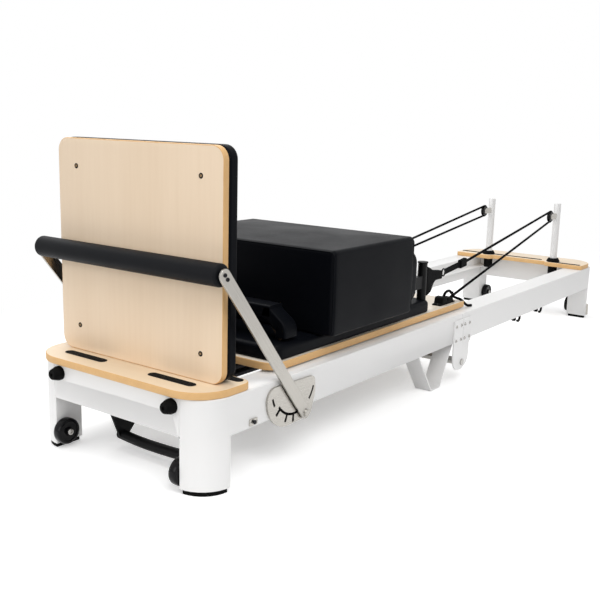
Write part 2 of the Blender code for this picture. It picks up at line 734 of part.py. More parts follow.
def add_foot_bar(root, finishes):
    """Quadrant plates on the frame and the foot bar that turns on them."""
    body = Body("foot_bar_axis", (PIVOT_X, 0, PIVOT_Z), root)
    plate_in = HALF_WIDTH + GAP
    plate_out = plate_in + PLATE_THICKNESS
    arm_out = ARM_IN + ARM_THICKNESS
    bore = HINGE_PIN_RADIUS + RUNNING_GAP
    rest_angle = math.degrees(math.atan2(GRIP_Z - PIVOT_Z, GRIP_X - PIVOT_X))
    corners = [
        (QUADRANT_BACK, QUADRANT_TOP, QUADRANT_BACK_TOP_RADIUS),
        (QUADRANT_BACK, QUADRANT_BOTTOM, QUADRANT_SWEEP),
        (QUADRANT_HEEL_X, QUADRANT_HEEL_Z, QUADRANT_HEEL_RADIUS),
        (QUADRANT_NOSE_X, QUADRANT_NOSE_Z, QUADRANT_NOSE_RADIUS),
        (QUADRANT_TIP_X, QUADRANT_TIP_Z, QUADRANT_TIP_RADIUS),
    ]
    pivot = (PIVOT_X, PIVOT_Z)
    for side in SIDES:
        name = SIDE_NAMES[side]
        ys = (side * plate_in, side * plate_out)
        wide = (side * (plate_in - CUT_SPARE), side * (plate_out + CUT_SPARE))
        plate = extruded(rounded(corners, 6), *ys, "Y")
        plate = piece("quadrant_plate_" + name, plate, finishes["steel"], root)
        combine(plate, extruded(disc(*pivot, bore), *wide, "Y"), "DIFFERENCE")
        slot = arc_band(pivot, INDEX_RADIUS, INDEX_SLOT, rest_angle - 4, rest_angle + LOWERED + 4)
        combine(plate, extruded(slot, *wide, "Y"), "DIFFERENCE")
        for step in range(INDEX_HOLES):
            angle = math.radians(rest_angle + LOWERED * step / (INDEX_HOLES - 1))
            hole = (PIVOT_X + INDEX_RADIUS * math.cos(angle), PIVOT_Z + INDEX_RADIUS * math.sin(angle))
            combine(plate, extruded(disc(*hole, INDEX_HOLE, 12), *wide, "Y"), "DIFFERENCE")

        arm = extruded(stadium(pivot, (GRIP_X, GRIP_Z), ARM_WIDTH / 2), side * ARM_IN, side * arm_out, "Y")
        arm = piece("foot_bar_arm_" + name, arm, finishes["steel"], body)
        nut_in = plate_in - NUT_HEIGHT
        nut_out = plate_in - GAP * 2
        head_in = plate_out + GAP
        head_out = arm_out + BOLT_HEAD_HEIGHT
        pin = [
            (0, nut_in), (NUT_RADIUS, nut_in), (NUT_RADIUS, nut_out), (HINGE_PIN_RADIUS, nut_out),
            (HINGE_PIN_RADIUS, head_in), (BOLT_HEAD_RADIUS, head_in), (BOLT_HEAD_RADIUS, head_out - 0.002),
            (BOLT_HEAD_RADIUS - 0.003, head_out), (0, head_out),
        ]
        pin = [(radius, side * along) for radius, along in pin]
        combine(arm, turned(pin, body.at, "Y"), "UNION")
        angle = math.radians(rest_angle)
        pin_x = PIVOT_X + INDEX_RADIUS * math.cos(angle)
        pin_z = PIVOT_Z + INDEX_RADIUS * math.sin(angle)
        ys = (side * (plate_in + 0.001), side * (ARM_IN + 0.002))
        index_pin = extruded(disc(pin_x, pin_z, INDEX_PIN, 10), *ys, "Y")
        combine(arm, index_pin, "UNION")
    tube_half = ARM_IN - GAP
    tube = [(0, -tube_half), (BAR_TUBE_RADIUS, -tube_half), (BAR_TUBE_RADIUS, tube_half), (0, tube_half)]
    grip_at = (GRIP_X, 0, GRIP_Z)
    piece("foot_bar_tube", turned(tube, grip_at, "Y"), finishes["dark"], body)
    bore = BAR_TUBE_RADIUS + GAP
    foam = [
        (bore, -GRIP_HALF), (GRIP_RADIUS - GRIP_EASE, -GRIP_HALF), (GRIP_RADIUS, -GRIP_HALF + GRIP_EASE),
        (GRIP_RADIUS, GRIP_HALF - GRIP_EASE), (GRIP_RADIUS - GRIP_EASE, GRIP_HALF), (bore, GRIP_HALF),
    ]
    piece("foot_bar_grip", turned(foam, grip_at, "Y", 24, ring=True), finishes["foam"], body)


def add_jump_board(root, finishes):
    """Ply jump board on two pins, with its vinyl pad."""
    low = BEAM_TOP + PLY + 2 * GAP
    body = Body("jump_board_axis", (BOARD_X + PLY / 2, 0, low), root)
    face = rectangle((-BOARD_HALF, BOARD_HALF), (low, low + BOARD_HEIGHT), BOARD_CORNER)
    board = extruded(rounded(face, 5), BOARD_X, BOARD_X + PLY, "X")
    board = piece("jump_board_ply", board, finishes["ply"], body, 0.0015)
    for side in SIDES:
        pin = disc(BOARD_X + PLY / 2, side * BOARD_BOLT_Y, BOARD_PIN_RADIUS, 12)
        combine(board, extruded(pin, low - BOARD_PIN_LENGTH, low + 0.006, "Z"), "UNION")
        for row in BOARD_BOLT_ROWS:
            recess = disc(side * BOARD_BOLT_Y, row, RECESS_RADIUS, 12)
            combine(board, extruded(recess, BOARD_X - 0.01, BOARD_X + RECESS_DEPTH, "X"), "DIFFERENCE")
    back = BOARD_X + PLY + GAP
    half = BOARD_HALF + BOARD_PAD_OVERHANG
    heights = (low + BOARD_PAD_RAISED, low + BOARD_HEIGHT + BOARD_PAD_OVERHANG)
    pad = soft_block((-half, half), heights, (0, BOARD_PAD), BOARD_CORNER, 0.010, 0.004)
    turn = Matrix(((0, 0, 1, back), (1, 0, 0, 0), (0, 1, 0, 0), (0, 0, 0, 1)))
    bmesh.ops.transform(pad, matrix=turn, verts=pad.verts)
    piece("jump_board_pad", pad, finishes["vinyl"], body)


def add_carriage(root, finishes):
    """Carriage base, pad, underframe, rollers and springs."""
    body = Body("carriage_axis", (CARRIAGE_BACK, 0, CARRIAGE_Z), root)
    top = CARRIAGE_Z + CARRIAGE_PLY
    half = [
        (CARRIAGE_FRONT, CARRIAGE_HALF, CARRIAGE_FRONT_CORNER),
        (CARRIAGE_BACK, CARRIAGE_HALF, CARRIAGE_BACK_CORNER),
    ]
    base = extruded(rounded(half + mirrored(half), 3), CARRIAGE_Z, top, "Z")
    base = piece("carriage_base", base, finishes["ply"], body, 0.0015)
    for side in SIDES:
        combine(base, cleat(side, top), "UNION")
    pad = soft_block((PAD_BACK, PAD_FRONT), (-PAD_HALF, PAD_HALF), (top + GAP, PAD_TOP), 0.03, 0.012, 0.001)
    pad = piece("carriage_pad", pad, finishes["vinyl"], body)
    for side in SIDES:
        hole = disc(POST_X, side * POST_Y, POST_RADIUS + RUNNING_GAP, POST_SIDES)
        combine(pad, extruded(hole, CARRIAGE_Z, PAD_TOP + 0.01, "Z"), "DIFFERENCE")
    under = CARRIAGE_Z - GAP
    outer = UNDERFRAME_Y + UNDERFRAME_WALL
    length = (UNDERFRAME_BACK, UNDERFRAME_FRONT)
    height = (UNDERFRAME_BOTTOM, under)
    frame = block(length, (UNDERFRAME_Y, outer), height)
    frame = piece("carriage_underframe", frame, finishes["dark"], body)
    combine(frame, block(length, (-UNDERFRAME_Y, -outer), height), "UNION")
    bars = [(x, CROSS_BAR_BOTTOM) for x in CROSS_BAR_XS] + [(ANCHOR_X, ANCHOR_BOTTOM)]
    for x, bottom in bars:
        bar = block((x, x + CROSS_BAR_DEPTH), (-outer + 0.001, outer - 0.001), (bottom, under - 0.001))
        combine(frame, bar, "UNION")
    for x in ROLLER_XS:
        hole = disc(x, ROLLER_Z, AXLE_RADIUS + RUNNING_GAP, 12)
        combine(frame, extruded(hole, -outer - CUT_SPARE, outer + CUT_SPARE, "Y"), "DIFFERENCE")
    for label, x in zip(("back", "front"), ROLLER_XS):
        add_roller_set(label, x, body, finishes)
    start = SPRING_BAR_X + SPRING_BAR_DEPTH + GAP
    for index, y in enumerate(SPRING_YS, 1):
        length = ANCHOR_X - GAP - start
        coil = SPRING_HOOK_LENGTH + SPRING_TAPER
        half = [(0, 0), (SPRING_HOOK, 0), (SPRING_HOOK, SPRING_HOOK_LENGTH), (SPRING_RADIUS, coil)]
        profile = half + [(radius, length - along) for radius, along in half[::-1]]
        spring = turned(profile, (start, y, SPRING_Z), "X", 12)
        piece("carriage_spring_%d" % index, spring, finishes["spring"], body)
    return body


def add_roller_set(label, x, parent, finishes):
    """Two carriage rollers on their axle."""
    body = Body("roller_axis_" + label, (x, 0, ROLLER_Z), parent)
    inner = UNDERFRAME_Y + UNDERFRAME_WALL + RUNNING_GAP
    outer = inner + ROLLER_WIDTH
    half = [
        (AXLE_RADIUS, inner), (ROLLER_RADIUS - 0.002, inner), (ROLLER_RADIUS, inner + 0.002),
        (ROLLER_RADIUS, outer - 0.002), (ROLLER_RADIUS - 0.002, outer), (0, outer),
    ]
    profile = [(radius, -along) for radius, along in half[::-1]] + half
    piece("roller_set_" + label, turned(profile, body.at, "Y"), finishes["dark"], body)


def cleat(side, top):
    """Small cam cleat for the rope: a foot with a raised block."""
    step = top + CLEAT_FOOT_HEIGHT
    sunk = top - 0.002
    half = [
        (CLEAT_FOOT, sunk, 0), (CLEAT_FOOT, step, 0), (CLEAT_BLOCK + 0.004, step, 0),
        (CLEAT_BLOCK, top + CLEAT_HEIGHT, 0.005),
    ]
    corners = [(CLEAT_X - reach, z, radius) for reach, z, radius in half]
    corners += [(CLEAT_X + reach, z, radius) for reach, z, radius in half[::-1]]
    ys = (side * (CLEAT_Y - CLEAT_HALF_WIDTH), side * (CLEAT_Y + CLEAT_HALF_WIDTH))
    return extruded(rounded(corners, 3), *ys, "Y")


def ground_cutter(foot):
    """Block below the arch's feet, which cuts them level."""
    xs = (ARCH_X - ARCH_WIDTH, ARCH_X + 2 * ARCH_WIDTH)
    half = ARCH_HALF + 2 * ARCH_PAD + ARCH_SLOPE
    return block(xs, (-half, half), (foot - ARCH_TOP / 4, foot))


def add_arch(body, finishes):
    """Padded arch across the carriage in front of the box: a ply former under a vinyl pad."""
    foot = PAD_TOP - ARCH_SEATED
    top = ARCH_TOP - ARCH_PAD - ARCH_FORMER
    bend = ARCH_HALF - ARCH_SLOPE
    corners = [(ARCH_HALF, foot, 0), (bend, top, ARCH_BEND), (-bend, top, ARCH_BEND), (-ARCH_HALF, foot, 0)]
    path = rounded(corners, 3, closed=False)
    xs = (ARCH_X, ARCH_X + ARCH_WIDTH)
    outline = strip(path, -ARCH_FORMER)
    former = piece("arch_former", extruded(outline, *xs, "X"), finishes["ply"], body)
    combine(former, ground_cutter(foot), "DIFFERENCE")
    outer = strip(path, -ARCH_FORMER - GAP)[len(path):][::-1]
    cover = strip(outer, -ARCH_PAD)
    cover = extruded(cover, xs[0] - ARCH_OVERHANG, xs[1] + ARCH_OVERHANG, "X")
    pad = piece("arch_pad", cover, finishes["vinyl"], body)
    combine(pad, ground_cutter(foot), "DIFFERENCE")


def add_shoulder_rests(body, finishes):
    """Two pads with their posts on the carriage base."""
    top = CARRIAGE_Z + CARRIAGE_PLY + GAP
    for side in SIDES:
        name = SIDE_NAMES[side]
        pad = soft_block((PAD_TOP + 0.001, SHOULDER_TOP), (side * SHOULDER_INNER, side * SHOULDER_OUTER),
                         (0, SHOULDER_FRONT - SHOULDER_BACK), SHOULDER_CORNER, 0.015, 0.006)
        turn = Matrix(((0, 0, -1, SHOULDER_FRONT), (0, 1, 0, 0), (1, 0, 0, 0), (0, 0, 0, 1)))
        bmesh.ops.transform(pad, matrix=turn, verts=pad.verts)
        bmesh.ops.recalc_face_normals(pad, faces=pad.faces)
        piece("shoulder_pad_" + name, pad, finishes["vinyl"], body)
        profile = [
            (0, top), (POST_RADIUS, top), (POST_RADIUS, POST_TOP - 0.006),
            (POST_RADIUS + 0.002, POST_TOP - 0.004), (POST_RADIUS + 0.002, POST_TOP), (0, POST_TOP),
        ]
        post = turned(profile, (POST_X, side * POST_Y, 0), "Z", POST_SIDES)
        post = piece("shoulder_post_" + name, post, finishes["dark"], body)
        start = SHOULDER_FRONT + GAP
        ys = (side * POST_PLATE_INNER, side * POST_PLATE_OUTER)
        combine(post, block((start, start + POST_PLATE), ys, (0.320, 0.390)), "UNION")
        ys = (side * (POST_Y - POST_ARM_HALF), side * (POST_Y + POST_ARM_HALF))
        combine(post, block((start + POST_PLATE / 2, POST_X), ys, (0.335, 0.375)), "UNION")


def add_sitting_box(carriage, finishes):
    """Vinyl covered sitting box, which stands on the carriage pad."""
    low = PAD_TOP + GAP
    body = Body("sitting_box_axis", ((BOX_BACK + BOX_FRONT) / 2, 0, low), carriage)
    box = soft_block((BOX_BACK, BOX_FRONT), (-BOX_HALF, BOX_HALF), (low, BOX_TOP), 0.030, 0.016, 0.005)
    piece("sitting_box", box, finishes["vinyl"], body)


def add_head_end(root, finishes):
    """The folding head half with its platform, risers, pulleys and sheaves."""
    head = Body("fold_axis", (FOLD_X, 0, FOLD_Z), root)
    add_half("head", FRAME_LENGTH, -1, head, finishes)
    low = BEAM_TOP + GAP
    front = FRAME_LENGTH - HEAD_PLATFORM_SHORT
    inner = HEAD_PLATFORM_BACK + HEAD_SET_BACK
    half = [
        (front, HEAD_PLATFORM_HALF, PLATFORM_CORNER),
        (HEAD_PLATFORM_BACK, HEAD_PLATFORM_HALF, HEAD_JOG_CORNER),
        (HEAD_PLATFORM_BACK, HEAD_JOG, HEAD_JOG_CORNER),
        (inner, HEAD_JOG - HEAD_JOG_SLOPE, HEAD_JOG_CORNER),
    ]
    platform = extruded(rounded(half + mirrored(half), 5), low, low + PLY, "Z")
    platform = piece("platform_head", platform, finishes["ply"], head, 0.002)
    for side in SIDES:
        name = SIDE_NAMES[side]
        riser_y = side * RISER_Y
        hole = disc(RISER_X, riser_y, SOCKET_RADIUS + RUNNING_GAP, COLLAR_SIDES)
        combine(platform, extruded(hole, low - 0.1, low + 0.1, "Z"), "DIFFERENCE")
        add_riser(name, riser_y, low + PLY + GAP, head, finishes)
    return head


def add_riser(name, riser_y, deck, head, finishes):
    """Riser in its collar, with the swivelling pulley block and its sheave."""
    bore = RISER_RADIUS + RUNNING_GAP
    collar = [
        (bore, SOCKET_BOTTOM), (SOCKET_RADIUS, SOCKET_BOTTOM), (SOCKET_RADIUS, deck), (COLLAR_RADIUS, deck),
        (COLLAR_RADIUS - 0.001, deck + 0.006), (COLLAR_RADIUS - 0.007, deck + COLLAR_HEIGHT),
        (bore, deck + COLLAR_HEIGHT),
    ]
    centre = (RISER_X, riser_y, 0)
    collar = turned(collar, centre, "Z", COLLAR_SIDES, ring=True)
    piece("riser_collar_" + name, collar, finishes["rubber"], head)
    body = Body("riser_axis_" + name, (RISER_X, riser_y, SOCKET_BOTTOM), head)
    profile = [
        (0, SOCKET_BOTTOM + 0.002), (RISER_RADIUS, SOCKET_BOTTOM + 0.002), (RISER_RADIUS, RISER_TOP - 0.002),
        (RISER_RADIUS - 0.002, RISER_TOP), (0, RISER_TOP),
    ]
    riser = piece("riser_" + name, turned(profile, centre, "Z", 20), finishes["frame"], body)
    face_x = RISER_X - RISER_RADIUS
    cap_x = face_x - EYE_REACH - EYE_CAP_HEIGHT
    lug = [
        (0, EYE_REACH), (EYE_RADIUS, EYE_REACH), (EYE_RADIUS, -EYE_REACH), (EYE_CAP_RADIUS, -EYE_REACH),
        (EYE_CAP_RADIUS, -EYE_REACH - EYE_CAP_HEIGHT), (0, -EYE_REACH - EYE_CAP_HEIGHT),
    ]
    combine(riser, turned(lug, (face_x, riser_y, SHEAVE_Z), "X", 12), "UNION")

    swivel = Body("pulley_axis_" + name, (cap_x, riser_y, SHEAVE_Z), body)
    half = SHEAVE_WIDTH / 2
    cheek_in = half + RUNNING_GAP
    cheek_out = cheek_in + CHEEK
    neck = cap_x - RUNNING_GAP
    width = (riser_y - cheek_out, riser_y + cheek_out)
    bridge = block((neck - BRIDGE, neck), width, (SHEAVE_Z - BRIDGE_HALF, SHEAVE_Z + BRIDGE_HALF))
    block_piece = piece("pulley_block_" + name, bridge, finishes["steel"], swivel)
    for side in SIDES:
        ys = (riser_y + side * cheek_in, riser_y + side * cheek_out)
        cheek = stadium((SHEAVE_X, SHEAVE_Z), (neck - CHEEK_RADIUS - 0.0005, SHEAVE_Z), CHEEK_RADIUS, 6)
        combine(block_piece, extruded(cheek, *ys, "Y"), "UNION")
    axle = disc(SHEAVE_X, SHEAVE_Z, SHEAVE_AXLE, 10)
    ys = (riser_y - cheek_out - 0.001, riser_y + cheek_out + 0.001)
    combine(block_piece, extruded(axle, *ys, "Y"), "UNION")

    spin = Body("sheave_axis_" + name, (SHEAVE_X, riser_y, SHEAVE_Z), swivel)
    groove = SHEAVE_RADIUS - GROOVE_DEPTH
    bore = SHEAVE_AXLE + RUNNING_GAP
    low_half = [
        (bore, -half), (SHEAVE_RADIUS, -half), (SHEAVE_RADIUS, -half + SHEAVE_RIM),
        (groove, -GROOVE_FLOOR / 2),
    ]
    wheel = low_half + [(radius, -along) for radius, along in low_half[::-1]]
    piece("sheave_" + name, turned(wheel, spin.at, "Y", 20, ring=True), finishes["dark"], spin)


def cord(name, points, radius, finish, body, resolution=2):
    """Solid tube along points."""
    curve = bpy.data.curves.new(name, "CURVE")
    curve.dimensions = "3D"
    curve.bevel_depth = radius
    curve.bevel_resolution = resolution
    curve.use_fill_caps = True
    spline = curve.splines.new("POLY")
    spline.points.add(len(points) - 1)
    for point, place in zip(spline.points, points):
        point.co = (*(Vector(place) - body.at), 1)
    curve.materials.append(finish)
    thing = bpy.data.objects.new(name, curve)
    bpy.context.scene.collection.objects.link(thing)
    thing.parent = body.empty
    return thing


def loop_tip(side):
    """Where a loop's strap leaves it."""
    return Vector((LOOP_TIP_X - 0.0015, side * ROPE_Y, LOOP_TIP_Z))


def rope_start(side):
    """Where a rope leaves its strap."""
    return Vector((ROPE_X, side * ROPE_Y, ROPE_STARTS[side]))


def add_ropes(head, finishes):
    """Each rope leaves its strap in line, then runs over the sheave and back to the cleat."""
    wrap = SHEAVE_RADIUS - GROOVE_DEPTH + ROPE_RADIUS + 2 * GAP
    deck = CARRIAGE_Z + CARRIAGE_PLY
    over = math.radians(ROPE_OVER)
    under = math.radians(ROPE_UNDER)
    for side in SIDES:
        sheave = Vector((SHEAVE_X, side * RISER_Y, SHEAVE_Z))
        start = rope_start(side)
        bend = start + (start - loop_tip(side)).normalized() * ROPE_IN_LINE
        end = Vector((CLEAT_X + ROPE_END_AFTER_CLEAT, side * CLEAT_Y, deck + ROPE_END_ABOVE_DECK))
        turn = []
        for index in range(ROPE_TURNS + 1):
            angle = over + (under - over) * index / ROPE_TURNS
            turn.append(sheave + Vector((wrap * math.cos(angle), 0, wrap * math.sin(angle))))
        upper = [start] + [bend.lerp(turn[0], share) for share in (0, 0.2, 0.4, 0.6, 0.8, 0.95)]
        lower = [turn[-1].lerp(end, share) for share in (0.05, 0.2, 0.4, 0.6, 0.8, 1)]
        cord("rope_" + SIDE_NAMES[side], upper + turn + lower, ROPE_RADIUS, finishes["rope"], head)


def strap_lead(tip, start):
    """Strap with a buckle at each end, from the loop's tip to the rope's start."""
    run = start - tip
    length = run.length - GAP
    half = [
        (0, 0), (BUCKLE_RADIUS, 0), (BUCKLE_RADIUS, BUCKLE_LENGTH), (STRAP_RADIUS, BUCKLE_LENGTH + 0.008),
    ]
    lead = turned(half + [(radius, length - along) for radius, along in half[::-1]], (0, 0, 0), "X", 10)
    place = Matrix.Translation(tip) @ Matrix.Rotation(-math.atan2(run.z, run.x), 4, "Y")
    bmesh.ops.transform(lead, matrix=place, verts=lead.verts)
    return lead


def add_strap_loops(body, finishes):
    """Webbing loop that hangs on each shoulder post, with its strap up to the rope's start."""
    edge = POST_X + POST_RADIUS + GAP
    outline = rounded([
        (edge, LOOP_TOP, 0), (LOOP_TIP_X, LOOP_TIP_Z + LOOP_TIP_HALF, 0.006),
        (LOOP_TIP_X, LOOP_TIP_Z - LOOP_TIP_HALF, 0.010),
        ((edge + LOOP_TIP_X) / 2, LOOP_TIP_Z - 0.028, 0.020), (edge, LOOP_BOTTOM, 0.004),
    ], 2)
    for side in SIDES:
        y = side * ROPE_Y
        loop = extruded(outline, y - LOOP_HALF_WIDTH, y + LOOP_HALF_WIDTH, "Y")
        loop = piece("strap_loop_" + SIDE_NAMES[side], loop, finishes["webbing"], body)
        combine(loop, strap_lead(loop_tip(side), rope_start(side)), "UNION")


def build():
    """Makes every piece of the reformer."""
    for thing in list(bpy.data.objects):
        bpy.data.objects.remove(thing, do_unlink=True)
    finishes = {
        "frame": make_finish("white_paint", (0.82, 0.82, 0.83), 0.35),
        "plate": make_finish("white_plate", (0.80, 0.80, 0.81), 0.35),
        "ply": make_finish("birch_ply", (0.76, 0.60, 0.40), 0.45),
        "vinyl": make_finish("black_vinyl", (0.015, 0.016, 0.019), 0.45),
        "foam": make_finish("black_foam", (0.012, 0.012, 0.014), 0.75),
        "rubber": make_finish("black_rubber", (0.012, 0.012, 0.012), 0.65),
        "wheel": make_finish("gloss_black", (0.010, 0.010, 0.010), 0.20),
        "dark": make_finish("dark_steel", (0.020, 0.020, 0.022), 0.40, 0.3),
        "steel": make_finish("stainless_steel", (0.55, 0.54, 0.52), 0.28, 1.0),
        "spring": make_finish("spring_steel", (0.45, 0.45, 0.46), 0.30, 1.0),
        "rope": make_finish("black_rope", (0.012, 0.012, 0.012), 0.80),
        "webbing": make_finish("black_webbing", (0.012, 0.012, 0.013), 0.80),
    }
    root = Body("frame_axis", (0, 0, 0))
    add_foot_end(root, finishes)
    add_v_legs(root, finishes)
    add_foot_bar(root, finishes)
    add_jump_board(root, finishes)
    carriage = add_carriage(root, finishes)
    add_arch(carriage, finishes)
    add_shoulder_rests(carriage, finishes)
    add_sitting_box(carriage, finishes)
    add_strap_loops(carriage, finishes)
    head = add_head_end(root, finishes)
    add_hinge(root, head, finishes)
    add_ropes(head, finishes)


build()
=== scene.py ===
"""Looks of a folding pilates reformer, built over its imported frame.

Places along the bed are measured from the foot end face and heights from the floor, and the near side
is -Y. Sizes are in metres. Shapes are surfaces of two parameters held in numpy arrays: stacks of
outlines, revolved profiles, and sections carried along a path.
"""
from __future__ import annotations

import logging
import math
from dataclasses import dataclass
from enum import Enum

import bmesh
import bpy
import numpy as np
from mathutils import Matrix, Vector
from mathutils.geometry import tessellate_polygon


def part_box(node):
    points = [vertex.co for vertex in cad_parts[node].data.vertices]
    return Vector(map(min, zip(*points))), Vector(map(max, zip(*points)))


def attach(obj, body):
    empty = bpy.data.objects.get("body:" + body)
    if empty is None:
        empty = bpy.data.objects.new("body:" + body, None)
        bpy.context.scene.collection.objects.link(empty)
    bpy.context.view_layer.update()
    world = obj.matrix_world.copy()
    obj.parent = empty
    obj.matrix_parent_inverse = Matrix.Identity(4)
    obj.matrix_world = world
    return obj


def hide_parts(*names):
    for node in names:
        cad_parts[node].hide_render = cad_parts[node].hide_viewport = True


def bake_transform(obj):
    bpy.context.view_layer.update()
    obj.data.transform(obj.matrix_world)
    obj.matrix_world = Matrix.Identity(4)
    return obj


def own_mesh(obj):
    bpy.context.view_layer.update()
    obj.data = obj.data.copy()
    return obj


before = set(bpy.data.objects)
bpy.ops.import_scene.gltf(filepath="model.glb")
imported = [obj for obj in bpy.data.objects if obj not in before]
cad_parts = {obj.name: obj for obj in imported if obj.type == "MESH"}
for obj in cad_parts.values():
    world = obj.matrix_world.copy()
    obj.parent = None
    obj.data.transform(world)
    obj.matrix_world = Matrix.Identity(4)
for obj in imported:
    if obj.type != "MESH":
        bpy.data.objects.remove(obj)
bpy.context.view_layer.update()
FOOT_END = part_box("side_frame_foot_near")[0][0]
SIDES = {"near": -1, "far": 1}
LOG = logging.getLogger("reformer")

# Gap between touching pieces, edges, grip strips and cushions
SEAT_GAP = 0.0003
PLATE_EDGE = 0.0006
PLY_EDGE = 0.002
PLATFORM_EDGE = 0.0025
GRIP_EDGE = 0.0005
GRIP_THICKNESS = 0.0014

# Angles in degrees past which an edge stays sharp, on new surfaces and on faceted parts
SHARP_ANGLE = 35.0
FACET_ANGLE = 32.0

# Copies of parts: edges past the first angle are eased, faces within the second become one, and
# points within the distance are merged
EASED_ANGLE = 45.0
FLAT_ANGLE = 0.5
MERGE_DISTANCE = 0.00002

# Route that ropes, straps and cleats share
ROPE_RADIUS = 0.0045
ROPE_X = 1.400
ROPE_Y = 0.235
ROPE_Z = {"near": 0.384, "far": 0.316}
LOOP_TIP_X = 1.2365
LOOP_TIP_Z = 0.366
CLEAT_X = 1.255

Array = np.ndarray
Thing = bpy.types.Object


class Plane(Enum):
    """The plane that an outline is drawn in; the third axis carries its depth."""

    XY = "xy"
    XZ = "xz"
    YZ = "yz"


class Axis(Enum):
    """The axis that a profile is turned about."""

    X = 0
    Y = 1
    Z = 2


def at(distance: float) -> float:
    """World X of a distance from the foot end face."""
    return FOOT_END + distance


def bed_top() -> float:
    """Height of the top of the carriage's ply."""
    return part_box("carriage_pad")[0][2] - SEAT_GAP


def loop_tip(sign: int) -> Array:
    """Where a webbing loop's strap leaves it."""
    return np.array([at(LOOP_TIP_X), sign * ROPE_Y, LOOP_TIP_Z])


def rope_start(side: str, sign: int) -> Array:
    """Where a rope leaves its strap."""
    return np.array([at(ROPE_X), sign * ROPE_Y, ROPE_Z[side]])


# Meshes


def grid_faces(rows: int, columns: int, loop_rows: bool = False) -> Array:
    """Quads over a grid whose columns close on themselves.

    Args:
        rows: number of rings.
        columns: points in a ring.
        loop_rows: whether the last ring joins the first.

    Returns:
        An (n, 4) array of point numbers.
    """
    index = np.arange(rows * columns).reshape(rows, columns)
    lower = index if loop_rows else index[:-1]
    upper = np.roll(index, -1, axis=0) if loop_rows else index[1:]
    quads = np.stack([lower, np.roll(lower, -1, 1), np.roll(upper, -1, 1), upper], axis=-1)
    return quads.reshape(-1, 4)


def skin(
    name: str,
    rings: Array,
    finishes: list[bpy.types.Material],
    caps: bool = True,
    loop_rows: bool = False,
    sharp: float = SHARP_ANGLE,
    side_slot: int = 0,
    along: Array | None = None,
) -> Thing:
    """Closed surface over a stack of rings.

    Args:
        name: name of the object.
        rings: points as (ring, place in ring, xyz).
        finishes: materials of the object.
        caps: whether flat faces close the first and the last ring.
        loop_rows: whether the last ring joins the first.
        sharp: angle in degrees past which an edge stays sharp.
        side_slot: material of the faces between rings; the end faces have the first.
        along: UV height of each ring of an open stack, where the material needs a UV map.

    Returns:
        The object, with its place in its mesh.
    """
    rows, columns, _ = rings.shape
    faces = grid_faces(rows, columns, loop_rows).tolist()
    quads = len(faces)
    if caps and not loop_rows:
        faces.append(list(range(columns))[::-1])
        faces.append(list(range((rows - 1) * columns, rows * columns)))
    data = bpy.data.meshes.new(name)
    data.from_pydata(rings.reshape(-1, 3).tolist(), [], faces)
    if along is not None:
        write_uv(data, columns, along)
    for finish in finishes:
        data.materials.append(finish)
    slots = np.zeros(len(faces), np.int32)
    slots[:quads] = side_slot
    data.polygons.foreach_set("material_index", slots)
    return closed_piece(name, data, sharp)


def write_uv(data: bpy.types.Mesh, columns: int, along: Array) -> None:
    """Writes a UV map that runs round each ring, as its angle in radians, and along the stack of rings.

    Args:
        data: mesh whose first faces are the grid's quads.
        columns: points in a ring.
        along: UV height of each ring.
    """
    layer = data.uv_layers.new(name="run")
    quads = (len(along) - 1) * columns
    step = 2 * math.pi / columns
    left = np.tile(np.arange(columns) * step, len(along) - 1)
    lower = np.repeat(along[:-1], columns)
    upper = np.repeat(along[1:], columns)
    corners = np.zeros((len(data.loops), 2), np.float32)
    block = np.stack(
        [
            np.stack([left, lower], -1),
            np.stack([left + step, lower], -1),
            np.stack([left + step, upper], -1),
            np.stack([left, upper], -1),
        ],
        axis=1,
    )
    corners[: quads * 4] = block.reshape(-1, 2)
    layer.data.foreach_set("uv", corners.ravel())


def placed(name: str, data: bpy.types.ID) -> Thing:
    """Object of some data, linked to the scene.

    Args:
        name: name of the object.
        data: its mesh, camera or light.

    Returns:
        The object.
    """
    thing = bpy.data.objects.new(name, data)
    bpy.context.scene.collection.objects.link(thing)
    return thing


def closed_piece(name: str, data: bpy.types.Mesh, sharp: float = SHARP_ANGLE) -> Thing:
    """Turns the faces of a closed mesh outwards, shades it smooth and makes its object.

    Args:
        name: name of the object.
        data: its mesh.
        sharp: angle in degrees past which an edge stays sharp.

    Returns:
        The object.
    """
    mesh = bmesh.new()
    mesh.from_mesh(data)
    bmesh.ops.recalc_face_normals(mesh, faces=mesh.faces)
    mesh.to_mesh(data)
    mesh.free()
    data.shade_smooth()
    data.set_sharp_from_angle(angle=math.radians(sharp))
    return placed(name, data)


def place_in(plane: Plane, a: Array, b: Array, depth: Array) -> Array:
    """Points of a plane's two coordinates and the depth across it."""
    order = {Plane.XY: (a, b, depth), Plane.XZ: (a, depth, b), Plane.YZ: (depth, a, b)}[plane]
    return np.stack(np.broadcast_arrays(*order), axis=-1)


